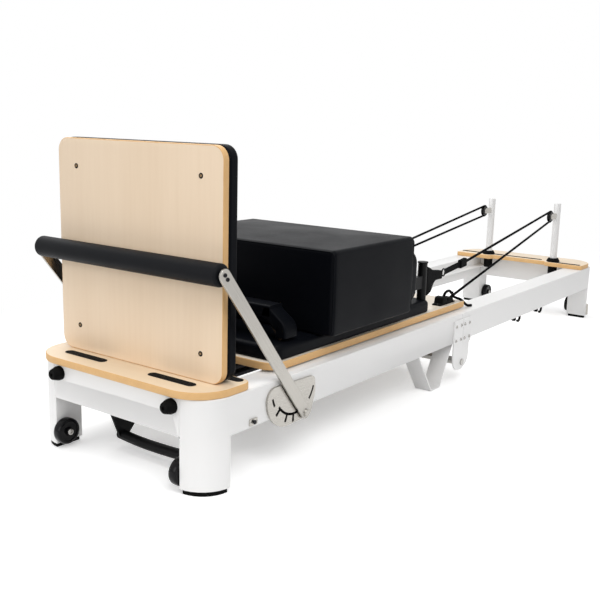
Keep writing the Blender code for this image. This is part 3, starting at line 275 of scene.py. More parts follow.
def outline_of(corners: list[tuple[float, float, float]], steps: int = 10) -> Array:
    """Closed outline through corners, each rounded by its own radius.

    A corner's arc touches both its edges at radius / tan(half angle) from the corner.

    Args:
        corners: (a, b, radius) of each corner in order.
        steps: segments of each arc.

    Returns:
        An (n, 2) array.
    """
    places = np.array(corners, float)
    parts = []
    for index, (a, b, radius) in enumerate(places):
        here = np.array([a, b])
        if radius == 0:
            parts.append(here[None])
            continue
        back = places[index - 1, :2] - here
        ahead = places[(index + 1) % len(places), :2] - here
        back /= np.linalg.norm(back)
        ahead /= np.linalg.norm(ahead)
        half = math.acos(float(np.clip(back @ ahead, -1, 1))) / 2
        bisector = (back + ahead) / np.linalg.norm(back + ahead)
        centre = here + bisector * radius / math.sin(half)
        start = here + back * radius / math.tan(half) - centre
        end = here + ahead * radius / math.tan(half) - centre
        turn = math.copysign(math.pi - 2 * half, start[0] * end[1] - start[1] * end[0])
        angle = math.atan2(start[1], start[0]) + turn * np.linspace(0, 1, steps + 1)
        parts.append(centre + radius * np.stack([np.cos(angle), np.sin(angle)], -1))
    return np.concatenate(parts)


def box_corners(
    low: tuple[float, float],
    high: tuple[float, float],
    corners: tuple[tuple[int, int, float, float, float], ...],
) -> list[tuple[float, float, float]]:
    """Corners of an outline, each given by its offsets from a corner of a box.

    Args:
        low: lowest corner of the box.
        high: its highest corner.
        corners: for each, the side that it counts from in both coordinates, 0 for low and 1 for
            high, its two offsets and its radius.

    Returns:
        (a, b, radius) of each corner.
    """
    ends = (low, high)
    return [(ends[i][0] + da, ends[j][1] + db, radius) for i, j, da, db, radius in corners]


def rectangle(low: tuple[float, float], high: tuple[float, float], radius: float, steps: int = 10) -> Array:
    """Rounded rectangle between two corners."""
    places = [(low[0], low[1]), (high[0], low[1]), (high[0], high[1]), (low[0], high[1])]
    return outline_of([(*place, radius) for place in places], steps)


def inset(outline: Array, distance: float) -> Array:
    """Outline moved inwards, each point along the line square to its neighbours.

    Args:
        outline: (n, 2) points.
        distance: how far they move.

    Returns:
        The moved points.
    """
    run = np.roll(outline, -1, 0) - np.roll(outline, 1, 0)
    normal = np.stack([-run[:, 1], run[:, 0]], -1)
    normal /= np.linalg.norm(normal, axis=1, keepdims=True)
    after = np.roll(outline, -1, 0)
    area = np.sum(outline[:, 0] * after[:, 1] - outline[:, 1] * after[:, 0])
    return outline + normal * distance * math.copysign(1, area)


def slab(
    name: str,
    outline: Array,
    low: float,
    high: float,
    plane: Plane,
    edge: float,
    face: bpy.types.Material,
    side: bpy.types.Material | None = None,
) -> Thing:
    """Flat sheet with eased edges: the outline is drawn in by the edge radius at both faces.

    Args:
        name: name of the object.
        outline: (n, 2) points in the plane.
        low: depth of one face.
        high: depth of the other face.
        plane: plane of the outline.
        edge: radius of the eased edge.
        face: material of the two faces.
        side: material of the edge, where it differs.

    Returns:
        The object.
    """
    angle = np.linspace(0, math.pi / 2, 4)
    drawn = edge * (1 - np.sin(angle))
    rise = edge * (1 - np.cos(angle))
    stack = [(d, low + r) for d, r in zip(drawn, rise)]
    stack += [(d, high - r) for d, r in zip(drawn[::-1], rise[::-1])]
    rings = np.stack([place_in(plane, *inset(outline, d).T, depth) for d, depth in stack])
    return skin(name, rings, [face, side or face], side_slot=1)


def pierced(
    name: str,
    outline: Array,
    openings: list[Array],
    low: float,
    high: float,
    plane: Plane,
    finish: bpy.types.Material,
) -> Thing:
    """Flat sheet with openings cut through: two faces cut into triangles, and a wall along every outline.

    Args:
        name: name of the object.
        outline: (n, 2) points in the plane.
        openings: outlines of the openings.
        low: depth of one face.
        high: depth of the other face.
        plane: plane of the outline.
        finish: material.

    Returns:
        The object.
    """
    loops = [outline] + openings
    flat = np.vstack(loops)
    count = len(flat)
    triangles = np.array(tessellate_polygon([[(*point, 0.0) for point in loop] for loop in loops]))
    faces = triangles.tolist() + (triangles[:, ::-1] + count).tolist()
    first = 0
    for loop in loops:
        here = np.arange(len(loop)) + first
        ahead = np.roll(here, -1)
        faces += np.stack([here, ahead, ahead + count, here + count], -1).tolist()
        first += len(loop)
    points = np.vstack([place_in(plane, flat[:, 0], flat[:, 1], depth) for depth in (low, high)])
    data = bpy.data.meshes.new(name)
    data.from_pydata(points.tolist(), [], faces)
    data.materials.append(finish)
    return closed_piece(name, data)


def turned_rings(
    profile: list[tuple[float, float]], centre: tuple[float, float, float], axis: Axis, steps: int
) -> Array:
    """Rings of a revolved profile: radius times cosine and sine of the turn, at each place along the axis.

    Args:
        profile: radius and place along the axis of each of its n points.
        centre: point that the places are counted from.
        axis: axis of the turn.
        steps: points in a ring.

    Returns:
        (n, steps, 3) points.
    """
    turn = np.linspace(0, 2 * math.pi, steps, endpoint=False)
    profile = np.asarray(profile, float)
    a = profile[:, :1] * np.cos(turn)
    b = profile[:, :1] * np.sin(turn)
    along = np.repeat(profile[:, 1:], steps, axis=1)
    order = {Axis.X: (along, a, b), Axis.Y: (b, along, a), Axis.Z: (a, b, along)}[axis]
    return np.stack(order, -1) + np.array(centre)


def turned(
    name: str,
    profile: list[tuple[float, float]],
    centre: tuple[float, float, float],
    axis: Axis,
    finish: bpy.types.Material,
    steps: int = 64,
    ring: bool = False,
) -> Thing:
    """Revolved piece; a ring's profile closes on itself, another profile gets flat end faces."""
    rings = turned_rings(profile, centre, axis, steps)
    return skin(name, rings, [finish], caps=not ring, loop_rows=ring)


def carried(path: Array, section: Array, sideways: tuple[float, float, float]) -> Array:
    """Section carried along a path.

    The section's first coordinate runs along cross(tangent, sideways) and its second along sideways
    made square to the path.

    Args:
        path: (n, 3) points.
        section: (m, 2) outline.
        sideways: direction that the path never runs along.

    Returns:
        (n, m, 3) points.
    """
    tangent = np.gradient(path, axis=0)
    tangent /= np.linalg.norm(tangent, axis=1, keepdims=True)
    up = np.cross(tangent, np.array(sideways, float))
    up /= np.linalg.norm(up, axis=1, keepdims=True)
    across = np.cross(up, tangent)
    return path[:, None] + section[None, :, :1] * up[:, None] + section[None, :, 1:] * across[:, None]


def circle(radius: float, steps: int = 12) -> Array:
    """Circle as a section."""
    turn = np.linspace(0, 2 * math.pi, steps, endpoint=False)
    return radius * np.stack([np.cos(turn), np.sin(turn)], -1)


def looped(path: Array, radius: float, sideways: tuple[float, float, float]) -> Array:
    """Round section carried along a path that closes on itself.

    Args:
        path: (n, 3) points, the last next to the first.
        radius: radius of the section.
        sideways: direction that the path never runs along.

    Returns:
        (n, m, 3) points.
    """
    closed_path = np.vstack([path[-1:], path, path[:1]])
    return carried(closed_path, circle(radius, 10), sideways)[1:-1]


def resample(points: Array, step: float) -> Array:
    """Points at an even spacing along a smooth curve through given points.

    Each stretch is the cubic whose slope at a point is half the run between its neighbours.

    Args:
        points: (n, 3) points that the curve goes through.
        step: spacing of the result.

    Returns:
        (m, 3) points.
    """
    knots = np.vstack([2 * points[0] - points[1], points, 2 * points[-1] - points[-2]])
    share = np.linspace(0, 1, 12, endpoint=False)[:, None, None]
    a, b, c, d = knots[:-3], knots[1:-2], knots[2:-1], knots[3:]
    curve = 0.5 * (2 * b + (c - a) * share + (2 * a - 5 * b + 4 * c - d) * share**2
                   + (3 * b - a - 3 * c + d) * share**3)
    fine = np.vstack([curve.transpose(1, 0, 2).reshape(-1, 3), points[-1:]])
    run = run_length(fine)
    even = np.linspace(0, run[-1], max(2, round(run[-1] / step)))
    return np.stack([np.interp(even, run, fine[:, axis]) for axis in range(3)], -1)


def run_length(path: Array) -> Array:
    """Distance along a path at each of its points."""
    return np.concatenate([[0], np.cumsum(np.linalg.norm(np.diff(path, axis=0), axis=1))])


def upholstered(
    name: str,
    low: Array,
    high: Array,
    plane: Plane,
    corner: float,
    edge: float,
    crown: float,
    finish: bpy.types.Material,
    bulge: float = 0.0,
) -> Thing:
    """Padded block over a rounded rectangle.

    Up its depth the outline swells out from a drawn-in base, runs up the side, rolls over the top
    edge by a quarter circle and rises to a crown, which falls off with the square of the distance
    from the middle. The sides bulge by a sine of their height.

    Args:
        name: name of the object.
        low: lowest corner in world axes.
        high: highest corner in world axes.
        plane: plane of the outline; the depth axis is the padding's thickness.
        corner: corner radius of the outline.
        edge: radius of the rolled edge.
        crown: rise of the middle over the rim.
        finish: material.
        bulge: how far the sides stand out at mid height.

    Returns:
        The object.
    """
    base_edge = 0.006
    flat_middle = 0.004
    least_corner = 0.0015
    axes = {Plane.XY: (0, 1, 2), Plane.XZ: (0, 2, 1), Plane.YZ: (1, 2, 0)}[plane]
    a0, b0, d0 = (min(low[i], high[i]) for i in axes)
    a1, b1, d1 = (max(low[i], high[i]) for i in axes)
    roll = np.linspace(0, math.pi / 2, 9)
    base = [(base_edge * (1 - math.sin(t)), base_edge * (1 - math.cos(t))) for t in roll[::2]]
    rim = d1 - d0 - crown
    rings = [(drawn + bulge, height) for drawn, height in base]
    span = rim - edge - base_edge
    up_the_side = np.linspace(0.15, 0.85, 9)
    rings += [(bulge * (1 - math.sin(math.pi * s)), base_edge + span * s) for s in up_the_side]
    rings += [(bulge + edge * (1 - math.cos(t)), rim - edge + edge * math.sin(t)) for t in roll]
    deepest = min(a1 - a0, b1 - b0) / 2 - edge - bulge - flat_middle
    for share in np.linspace(0.06, 1, 14):
        rings.append((bulge + edge + deepest * share, rim + crown * (1 - (1 - share) ** 2)))
    half_a = (a1 - a0) / 2
    half_b = (b1 - b0) / 2
    middle = np.array([(a0 + a1) / 2, (b0 + b1) / 2])
    stack = []
    for drawn, depth in rings:
        radius = max(corner - drawn, least_corner)
        corner_a = half_a - drawn
        corner_b = half_b - drawn
        outline = spread(rectangle((-corner_a, -corner_b), (corner_a, corner_b), radius, 8), 30)
        stack.append(place_in(plane, outline[:, 0] + middle[0], outline[:, 1] + middle[1], d0 + depth))
    thing = skin(name, np.stack(stack), [finish], sharp=60)
    return thing


def spread(outline: Array, per_side: int) -> Array:
    """Outline of a rounded rectangle with even extra points along its four straight runs.

    Args:
        outline: its points, with as many in each corner.
        per_side: steps of each straight run.

    Returns:
        The points with the extra ones.
    """
    quarter = len(outline) // 4
    parts = []
    for index in range(4):
        arc = outline[index * quarter:(index + 1) * quarter]
        after = outline[((index + 1) * quarter) % len(outline)]
        share = np.linspace(0, 1, per_side, endpoint=False)[1:, None]
        parts += [arc, arc[-1] + (after - arc[-1]) * share]
    return np.concatenate(parts)


def smooth_copy(node: str, finish: bpy.types.Material, ease: float = 0.0) -> Thing:
    """Merged copy of a frame part, smooth over its facets, which stands for that part.

    Args:
        node: name of the frame part.
        finish: material.
        ease: width of a rounding laid along its sharp edges.

    Returns:
        The copy.
    """
    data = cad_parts[node].data.copy()
    mesh = bmesh.new()
    mesh.from_mesh(data)
    bmesh.ops.remove_doubles(mesh, verts=mesh.verts, dist=MERGE_DISTANCE)
    flat = math.radians(FLAT_ANGLE)
    bmesh.ops.dissolve_limit(mesh, angle_limit=flat, verts=mesh.verts, edges=mesh.edges)
    mesh.to_mesh(data)
    mesh.free()
    data.materials.clear()
    data.materials.append(finish)
    data.shade_smooth()
    data.set_sharp_from_angle(angle=math.radians(FACET_ANGLE))
    thing = placed(node + "_finished", data)
    if ease:
        eased = thing.modifiers.new("eased", "BEVEL")
        eased.width = ease
        eased.segments = 2
        eased.limit_method = "ANGLE"
        eased.angle_limit = math.radians(EASED_ANGLE)
    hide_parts(node)
    return thing


def settle(thing: Thing, body: str, slot: str, *nodes: str) -> Thing:
    """Makes a piece ride on a body and hides the parts it stands for.

    Args:
        thing: the piece.
        body: body that it follows.
        slot: not used.
        *nodes: frame parts that it stands for.

    Returns:
        The piece.
    """
    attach(thing, body)
    if nodes:
        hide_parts(*nodes)
    LOG.info("%s: %d points on %s", thing.name, len(thing.data.vertices), body)
    return thing


# Materials


class Graph:
    """Adds and joins nodes of one tree."""

    def __init__(self, tree: bpy.types.NodeTree) -> None:
        """Keeps the tree."""
        self.tree = tree

    def add(self, kind: str, **values: object) -> bpy.types.Node:
        """Adds a node and fills it in.

        Args:
            kind: Blender's node type without its leading ShaderNode.
            **values: node properties, or input names with underscores for spaces.

        Returns:
            The node.
        """
        node = self.tree.nodes.new("ShaderNode" + kind)
        self.fill(node, **values)
        return node

    def fill(self, node: bpy.types.Node, **values: object) -> None:
        """Sets a node's properties and inputs by name.

        Args:
            node: the node.
            **values: node properties, or input names with underscores for spaces.
        """
        for key, value in values.items():
            if hasattr(node, key):
                setattr(node, key, value)
            else:
                self.feed(node.inputs[key.replace("_", " ")], value)

    def feed(self, socket: bpy.types.NodeSocket, value: object) -> None:
        """Joins an input to another socket, or sets its value.

        Args:
            socket: the input.
            value: a socket or a plain value.
        """
        if isinstance(value, bpy.types.NodeSocket):
            self.tree.links.new(value, socket)
        else:
            socket.default_value = value

    def math(self, operation: str, first: object, second: object = 0.0) -> bpy.types.NodeSocket:
        """Works out a sum, product or other function of two numbers.

        Args:
            operation: Blender's name of the operation.
            first: value or socket.
            second: value or socket.

        Returns:
            The output.
        """
        node = self.add("Math", operation=operation)
        self.feed(node.inputs[0], first)
        self.feed(node.inputs[1], second)
        return node.outputs[0]

    def mix(self, share: object, first: object, second: object) -> bpy.types.NodeSocket:
        """Mixes two colours.

        Args:
            share: how much of the second colour there is.
            first: a colour or a socket.
            second: a colour or a socket.

        Returns:
            The output.
        """
        node = self.add("Mix", data_type="RGBA")
        for label, value in (("Factor_Float", share), ("A_Color", first), ("B_Color", second)):
            socket = next(socket for socket in node.inputs if socket.identifier == label)
            self.feed(socket, (*value, 1) if isinstance(value, tuple) else value)
        return node.outputs[2]


def new_group(
    name: str, inputs: dict[str, tuple[str, object]], outputs: dict[str, str]
) -> tuple[Graph, bpy.types.Node, bpy.types.Node]:
    """Starts a shader node group.

    Args:
        name: name of the group.
        inputs: socket name to (kind, default).
        outputs: socket name to kind.

    Returns:
        Its graph, its input node and its output node.
    """
    tree = bpy.data.node_groups.new(name, "ShaderNodeTree")
    for label, (kind, value) in inputs.items():
        socket = tree.interface.new_socket(label, in_out="INPUT", socket_type="NodeSocket" + kind)
        if value is not None:
            socket.default_value = value
    for label, kind in outputs.items():
        tree.interface.new_socket(label, in_out="OUTPUT", socket_type="NodeSocket" + kind)
    return Graph(tree), tree.nodes.new("NodeGroupInput"), tree.nodes.new("NodeGroupOutput")


def grain_group() -> bpy.types.NodeTree:
    """Wood figure: planks, waves and fine lines, each a stretched noise, darken a pale ground.

    Returns:
        The group.
    """
    graph, given, result = new_group(
        "wood_grain",
        {"Vector": ("Vector", None), "Pale": ("Color", (0.8, 0.65, 0.45, 1)),
         "Dark": ("Color", (0.6, 0.4, 0.2, 1))},
        {"Color": "Color", "Height": "Float"},
    )
    place = given.outputs["Vector"]
    broad = graph.add("TexNoise", Vector=place, Scale=9.0, Detail=3.0)
    fine = graph.add("TexNoise", Vector=place, Scale=90.0, Detail=2.0)
    planks = graph.add("TexNoise", Vector=place, Scale=8.0, Detail=1.0)
    lines = graph.math("MULTIPLY", fine.outputs[0], 0.2)
    waves = graph.math("ADD", graph.math("MULTIPLY", broad.outputs[0], 0.35), lines)
    share = graph.math("ADD", waves, graph.math("MULTIPLY", planks.outputs[0], 0.45))
    span = graph.add("MapRange", Value=share, From_Min=0.38, From_Max=0.62)
    colour = graph.mix(span.outputs[0], given.outputs["Pale"], given.outputs["Dark"])
    graph.fill(result, Color=colour, Height=fine.outputs[0])
    return graph.tree


def layers_group() -> bpy.types.NodeTree:
    """Ply edge: a sine of the depth, sharpened and broken up by noise, tells dark layers from pale ones.

    Returns:
        The group.
    """
    graph, given, result = new_group(
        "ply_layers",
        {"Vector": ("Vector", None), "Depth": ("Float", 0.0), "Layer": ("Float", 0.0026),
         "Pale": ("Color", (0.7, 0.5, 0.25, 1)), "Dark": ("Color", (0.4, 0.2, 0.08, 1))},
        {"Color": "Color", "Mask": "Float"},
    )
    turns = graph.math("DIVIDE", given.outputs["Depth"], given.outputs["Layer"])
    wave = graph.math("SINE", graph.math("MULTIPLY", turns, 2 * math.pi))
    patches = graph.add("TexNoise", Vector=given.outputs["Vector"], Scale=35.0, Detail=2.0)
    uneven = graph.math("MULTIPLY", graph.math("SUBTRACT", patches.outputs[0], 0.5), 1.6)
    mask = graph.add("MapRange", Value=graph.math("ADD", wave, uneven), From_Min=-0.2, From_Max=0.9)
    colour = graph.mix(mask.outputs[0], given.outputs["Pale"], given.outputs["Dark"])
    graph.fill(result, Color=colour, Mask=mask.outputs[0])
    return graph.tree


def pebble_group() -> bpy.types.NodeTree:
    """Pebbled hide: the distance to the cell borders of a Voronoi pattern, with a broad noise for sheen.

    Returns:
        The group.
    """
    graph, given, result = new_group(
        "pebble",
        {"Vector": ("Vector", None), "Scale": ("Float", 600.0)},
        {"Height": "Float", "Mask": "Float"},
    )
    cells = graph.add("TexVoronoi", feature="DISTANCE_TO_EDGE", Vector=given.outputs["Vector"],
                      Scale=given.outputs["Scale"])
    cloud = graph.add("TexNoise", Vector=given.outputs["Vector"], Scale=7.0, Detail=4.0)
    height = graph.math("MINIMUM", graph.math("MULTIPLY", cells.outputs[0], 3.0), 0.6)
    graph.fill(result, Height=height, Mask=cloud.outputs[0])
    return graph.tree


def speckle_group() -> bpy.types.NodeTree:
    """Even fine texture: a fine noise for the surface and a broad one for slight uneven sheen.

    Returns:
        The group.
    """
    graph, given, result = new_group(
        "speckle",
        {"Vector": ("Vector", None), "Scale": ("Float", 400.0)},
        {"Height": "Float", "Mask": "Float"},
    )
    fine = graph.add("TexNoise", Vector=given.outputs["Vector"], Scale=given.outputs["Scale"], Detail=2.0)
    broad = graph.add("TexNoise", Vector=given.outputs["Vector"], Scale=5.0, Detail=3.0)
    graph.fill(result, Height=fine.outputs[0], Mask=broad.outputs[0])
    return graph.tree


def braid_group() -> bpy.types.NodeTree:
    """Braid or web: two sets of slanting waves on a flat map, the higher of which lies on top.

    Returns:
        The group.
    """
    graph, given, result = new_group(
        "braid",
        {"Vector": ("Vector", None), "Pitch": ("Float", 1.0)},
        {"Height": "Float"},
    )
    split = graph.add("SeparateXYZ", Vector=given.outputs["Vector"])
    around = graph.math("MULTIPLY", split.outputs[0], given.outputs["Pitch"])
    along = graph.math("MULTIPLY", split.outputs[1], given.outputs["Pitch"])
    one = graph.math("SINE", graph.math("ADD", around, along))
    two = graph.math("SINE", graph.math("SUBTRACT", around, along))
    graph.fill(result, Height=graph.math("MAXIMUM", one, two))
    return graph.tree


@dataclass(frozen=True)
class Finish:
    """A finish: name, base colour, roughness, metallic value and specular level."""

    name: str
    colour: tuple[float, float, float]
    roughness: float
    metallic: float = 0.0
    specular: float = 0.5

    def start(self) -> tuple[bpy.types.Material, Graph, bpy.types.Node, bpy.types.NodeSocket]:
        """Makes the plain material.

        Returns:
            The material, its graph, its shader and the object coordinates.
        """
        material = bpy.data.materials.new(self.name)
        material.use_nodes = True
        graph = Graph(material.node_tree)
        shader = material.node_tree.nodes["Principled BSDF"]
        graph.fill(shader, Base_Color=(*self.colour, 1), Roughness=self.roughness, Metallic=self.metallic,
                   Specular_IOR_Level=self.specular)
        return material, graph, shader, graph.add("TexCoord").outputs["Object"]

    def roughen(
        self, graph: Graph, shader: bpy.types.Node, mask: bpy.types.NodeSocket, swing: float
    ) -> None:
        """Varies the roughness about its value by a mask.

        Args:
            graph: the material's graph.
            shader: its shader.
            mask: noise about one half.
            swing: most that the roughness departs from its value.
        """
        value = graph.add("MapRange", Value=mask, From_Min=0.3, From_Max=0.7,
                          To_Min=self.roughness - swing, To_Max=self.roughness + swing)
        graph.fill(shader, Roughness=value.outputs[0])

    def raise_by(
        self, graph: Graph, shader: bpy.types.Node, height: bpy.types.NodeSocket, distance: float,
        strength: float,
    ) -> None:
        """Lays a height on the surface as a bump."""
        bump = graph.add("Bump", Strength=strength, Distance=distance, Height=height)
        graph.fill(shader, Normal=bump.outputs[0])


@dataclass(frozen=True)
class Textured(Finish):
    """A finish with an even fine texture, such as powder coat, foam or rubber."""

    scale: float = 400.0
    depth: float = 0.0002
    strength: float = 0.2
    cloud: float = 0.05

    def build(self, group: bpy.types.NodeTree) -> bpy.types.Material:
        """Makes the material.

        Args:
            group: the texture group.

        Returns:
            The material.
        """
        material, graph, shader, coordinates = self.start()
        texture = graph.add("Group", node_tree=group, Vector=coordinates, Scale=self.scale)
        self.roughen(graph, shader, texture.outputs["Mask"], self.cloud)
        self.raise_by(graph, shader, texture.outputs["Height"], self.depth, self.strength)
        return material


@dataclass(frozen=True)
class Brushed(Finish):
    """Metal with fine brush lines that run at a tilt in the XZ plane."""

    tilt: float = 0.0
    shade: float = 0.85

    def build(self) -> bpy.types.Material:
        """Makes the material: noise drawn out along the brush direction shades and roughens it.

        Returns:
            The material.
        """
        material, graph, shader, coordinates = self.start()
        turned_to = graph.add("Mapping", vector_type="TEXTURE", Vector=coordinates,
                              Rotation=(0, self.tilt, 0))
        drawn = graph.add("Mapping", Vector=turned_to.outputs[0], Scale=(6.0, 300.0, 900.0))
        lines = graph.add("TexNoise", Vector=drawn.outputs[0], Scale=1.0, Detail=2.0)
        cloud = graph.add("TexNoise", Vector=coordinates, Scale=14.0, Detail=3.0)
        share = graph.math("ADD", graph.math("MULTIPLY", lines.outputs[0], 0.6),
                           graph.math("MULTIPLY", cloud.outputs[0], 0.4))
        darker = tuple(channel * self.shade for channel in self.colour)
        span = graph.add("MapRange", Value=share, From_Min=0.35, From_Max=0.65)
        graph.fill(shader, Base_Color=graph.mix(span.outputs[0], darker, self.colour))
        self.roughen(graph, shader, share, swing=0.06)
        return material


@dataclass(frozen=True)
class WoodFace(Finish):
    """Lacquered face veneer with its grain along one axis."""

    dark: tuple[float, float, float] = (0.5, 0.3, 0.15)
    stretch: tuple[float, float, float] = (1.0, 0.06, 1.0)

    def build(self, group: bpy.types.NodeTree) -> bpy.types.Material:
        """Makes the material.

        Args:
            group: the grain group.

        Returns:
            The material.
        """
        material, graph, shader, coordinates = self.start()
        drawn = graph.add("Mapping", Vector=coordinates, Scale=self.stretch)
        grain = graph.add("Group", node_tree=group, Vector=drawn.outputs[0], Pale=(*self.colour, 1),
                          Dark=(*self.dark, 1))
        graph.fill(shader, Base_Color=grain.outputs["Color"], Coat_Weight=0.15, Coat_Roughness=0.25)
        self.raise_by(graph, shader, grain.outputs["Height"], distance=0.0001, strength=0.05)
        return material


@dataclass(frozen=True)
class PlyEdge(Finish):
    """Cut edge of ply with its layers across one axis."""

    dark: tuple[float, float, float] = (0.4, 0.2, 0.08)
    across: Axis = Axis.Z

    def build(self, group: bpy.types.NodeTree) -> bpy.types.Material:
        """Makes the material.

        Args:
            group: the layers group.

        Returns:
            The material.
        """
        material, graph, shader, coordinates = self.start()
        split = graph.add("SeparateXYZ", Vector=coordinates)
        layers = graph.add("Group", node_tree=group, Depth=split.outputs[self.across.value],
                           Vector=coordinates, Pale=(*self.colour, 1), Dark=(*self.dark, 1))
        graph.fill(shader, Base_Color=layers.outputs["Color"])
        self.raise_by(graph, shader, layers.outputs["Mask"], distance=0.0001, strength=0.15)
        return material


@dataclass(frozen=True)
class Woven(Finish):
    """Braided rope on the piece's own UV map, or flat webbing on its place in the XZ plane."""

    pitch: float = 1.0
    flat: bool = False

    def build(self, group: bpy.types.NodeTree) -> bpy.types.Material:
        """Makes the material.

        Args:
            group: the braid group.

        Returns:
            The material.
        """
        material, graph, shader, coordinates = self.start()
        if self.flat:
            split = graph.add("SeparateXYZ", Vector=coordinates)
            run = graph.add("CombineXYZ", X=split.outputs[0], Y=split.outputs[2])
        else:
            run = graph.add("UVMap", uv_map="run")
        braid = graph.add("Group", node_tree=group, Vector=run.outputs[0], Pitch=self.pitch)
        self.raise_by(graph, shader, braid.outputs["Height"], distance=0.0005, strength=0.4)
        return material


class Shop:
    """Every finish of the reformer, each made once."""

    def __init__(self) -> None:
        """Builds the shared groups and the materials."""
        self.metals()
        self.woods(grain_group(), layers_group())
        self.textured(pebble_group(), speckle_group())
        self.fabrics(braid_group())

    def metals(self) -> None:
        """Stainless arms and plates, bolts and springs."""
        stainless = (0.48, 0.46, 0.425)
        self.arm = Brushed("brushed_arm", stainless, 0.30, 1.0, tilt=math.radians(51.3)).build()
        self.steel = Brushed("brushed_plate", stainless, 0.28, 1.0).build()
        self.bolt = Brushed("bolt_steel", (0.46, 0.45, 0.43), 0.25, 1.0).build()
        self.brass = Brushed("screw_brass", (0.30, 0.20, 0.11), 0.35, 1.0).build()
        self.spring = Brushed("spring_steel", (0.025, 0.025, 0.028), 0.35, 1.0).build()

    def woods(self, grain: bpy.types.NodeTree, layers: bpy.types.NodeTree) -> None:
        """Faces and cut edges of the ply, and a darkened ply that paints the shade on the arch former.

        Args:
            grain: the grain group.
            layers: the layers group.
        """
        edge = (0.78, 0.49, 0.215)
        glue = (0.62, 0.355, 0.14)
        self.board_face = WoodFace("board_face", (0.92, 0.74, 0.55), 0.42, dark=(0.86, 0.675, 0.485),
                                   stretch=(1.0, 1.0, 0.06)).build(grain)
        self.deck_face = WoodFace("deck_face", (0.86, 0.70, 0.51), 0.40, dark=(0.80, 0.63, 0.43),
                                  stretch=(1.0, 0.06, 1.0)).build(grain)
        self.bed_face = WoodFace("bed_face", (0.80, 0.71, 0.60), 0.42, dark=(0.74, 0.65, 0.53),
                                 stretch=(0.06, 1.0, 1.0)).build(grain)
        self.board_edge = PlyEdge("board_edge", edge, 0.5, dark=glue, across=Axis.X).build(layers)
        self.deck_edge = PlyEdge("deck_edge", edge, 0.5, dark=glue, across=Axis.Z).build(layers)
        # Arch former's ply, darkened all over to paint the shade under the arch cushion
        self.former = PlyEdge("former_ply_painted_shade", (0.055, 0.033, 0.017), 0.7, dark=(0.035, 0.02, 0.01),
                              across=Axis.Z).build(layers)

    def textured(self, pebble: bpy.types.NodeTree, speckle: bpy.types.NodeTree) -> None:
        """Powder coats, vinyl, foam, rubber and plastics.

        Args:
            pebble: the pebble group.
            speckle: the speckle group.
        """
        self.paint = Textured("white_powder_coat", (0.82, 0.815, 0.81), 0.40, scale=900.0, depth=0.0001,
                              strength=0.12).build(speckle)
        self.vinyl = Textured("black_vinyl", (0.0025, 0.003, 0.0045), 0.42, specular=0.045, scale=900.0,
                              depth=0.0003, strength=0.22).build(pebble)
        self.foam = Textured("black_foam", (0.005, 0.0055, 0.0070), 0.50, specular=0.10, scale=1500.0,
                             depth=0.0004, strength=0.5).build(speckle)
        self.rubber = Textured("black_rubber", (0.003, 0.003, 0.003), 0.60, specular=0.05, scale=700.0,
                               strength=0.2).build(speckle)
        self.gloss = Textured("gloss_black", (0.0025, 0.0025, 0.003), 0.13, specular=0.16, scale=60.0,
                              depth=0.0001, strength=0.05).build(speckle)
        self.grit = Textured("grip_grit", (0.006, 0.006, 0.006), 0.85, specular=0.1, scale=1400.0,
                             depth=0.0008, strength=0.9).build(speckle)
        self.dark = Textured("dark_steel", (0.0035, 0.0035, 0.004), 0.40, specular=0.11, scale=700.0,
                             depth=0.0001, strength=0.1).build(speckle)

    def fabrics(self, braid: bpy.types.NodeTree) -> None:
        """Rope and webbing."""
        self.rope = Woven("black_rope", (0.002, 0.002, 0.0025), 0.75, specular=0.03,
                          pitch=12.0).build(braid)
        self.webbing = Woven("black_webbing", (0.003, 0.003, 0.0035), 0.72, specular=0.06, pitch=2400.0,
                             flat=True).build(braid)


# Sub-assemblies


def bolt_heads(
    name: str,
    places: list[tuple[float, float, float]],
    axis: Axis,
    outward: int,
    radius: float,
    finish: bpy.types.Material,
) -> Thing:
    """Button head bolts in one mesh: each a low dome with a sunk socket, revolved about its axis.

    Its profile is written in shares of the head's radius.

    Args:
        name: name of the object.
        places: centre of each head on the face that it sits on.
        axis: axis of the bolts.
        outward: +1 or -1, the way that the heads face along the axis.
        radius: radius of a head.
        finish: material.

    Returns:
        The object.
    """
    turn = np.linspace(0, math.pi / 2, 5)
    dome = [(0.75 + 0.25 * math.cos(t), 0.1 + 0.4 * math.sin(t)) for t in turn]
    profile = [(1.0, 0.0)] + dome + [(0.45, 0.5), (0.42, 0.2)]
    profile = [(radius * wide, outward * radius * high) for wide, high in profile]
    one = turned_rings(profile, (0, 0, 0), axis, 20)
    rows, columns, _ = one.shape
    points = (one.reshape(1, -1, 3) + np.array(places)[:, None]).reshape(-1, 3)
    single = grid_faces(rows, columns).tolist()
    single += [list(range(columns))[::-1], list(range((rows - 1) * columns, rows * columns))]
    starts = [index * rows * columns for index in range(len(places))]
    faces = [[corner + start for corner in face] for start in starts for face in single]
    data = bpy.data.meshes.new(name)
    data.from_pydata(points.tolist(), [], faces)
    data.materials.append(finish)
    return closed_piece(name, data, sharp=40)


def grip_strip(
    name: str,
    low: tuple[float, float],
    high: tuple[float, float],
    radius: float,
    steps: int,
    top: float,
    body: str,
    shop: Shop,
) -> None:
    """Thin gritty strip on a platform.

    Args:
        name: name of the piece.
        low: its lowest X and Y.
        high: its highest X and Y.
        radius: radius of its corners.
        steps: segments of each corner.
        top: height of the platform's top.
        body: body that it follows.
        shop: the finishes.
    """
    outline = rectangle(low, high, radius, steps)
    strip = slab(name, outline, top, top + GRIP_THICKNESS, Plane.XY, GRIP_EDGE, shop.grit)
    settle(strip, body, "black_rubber")


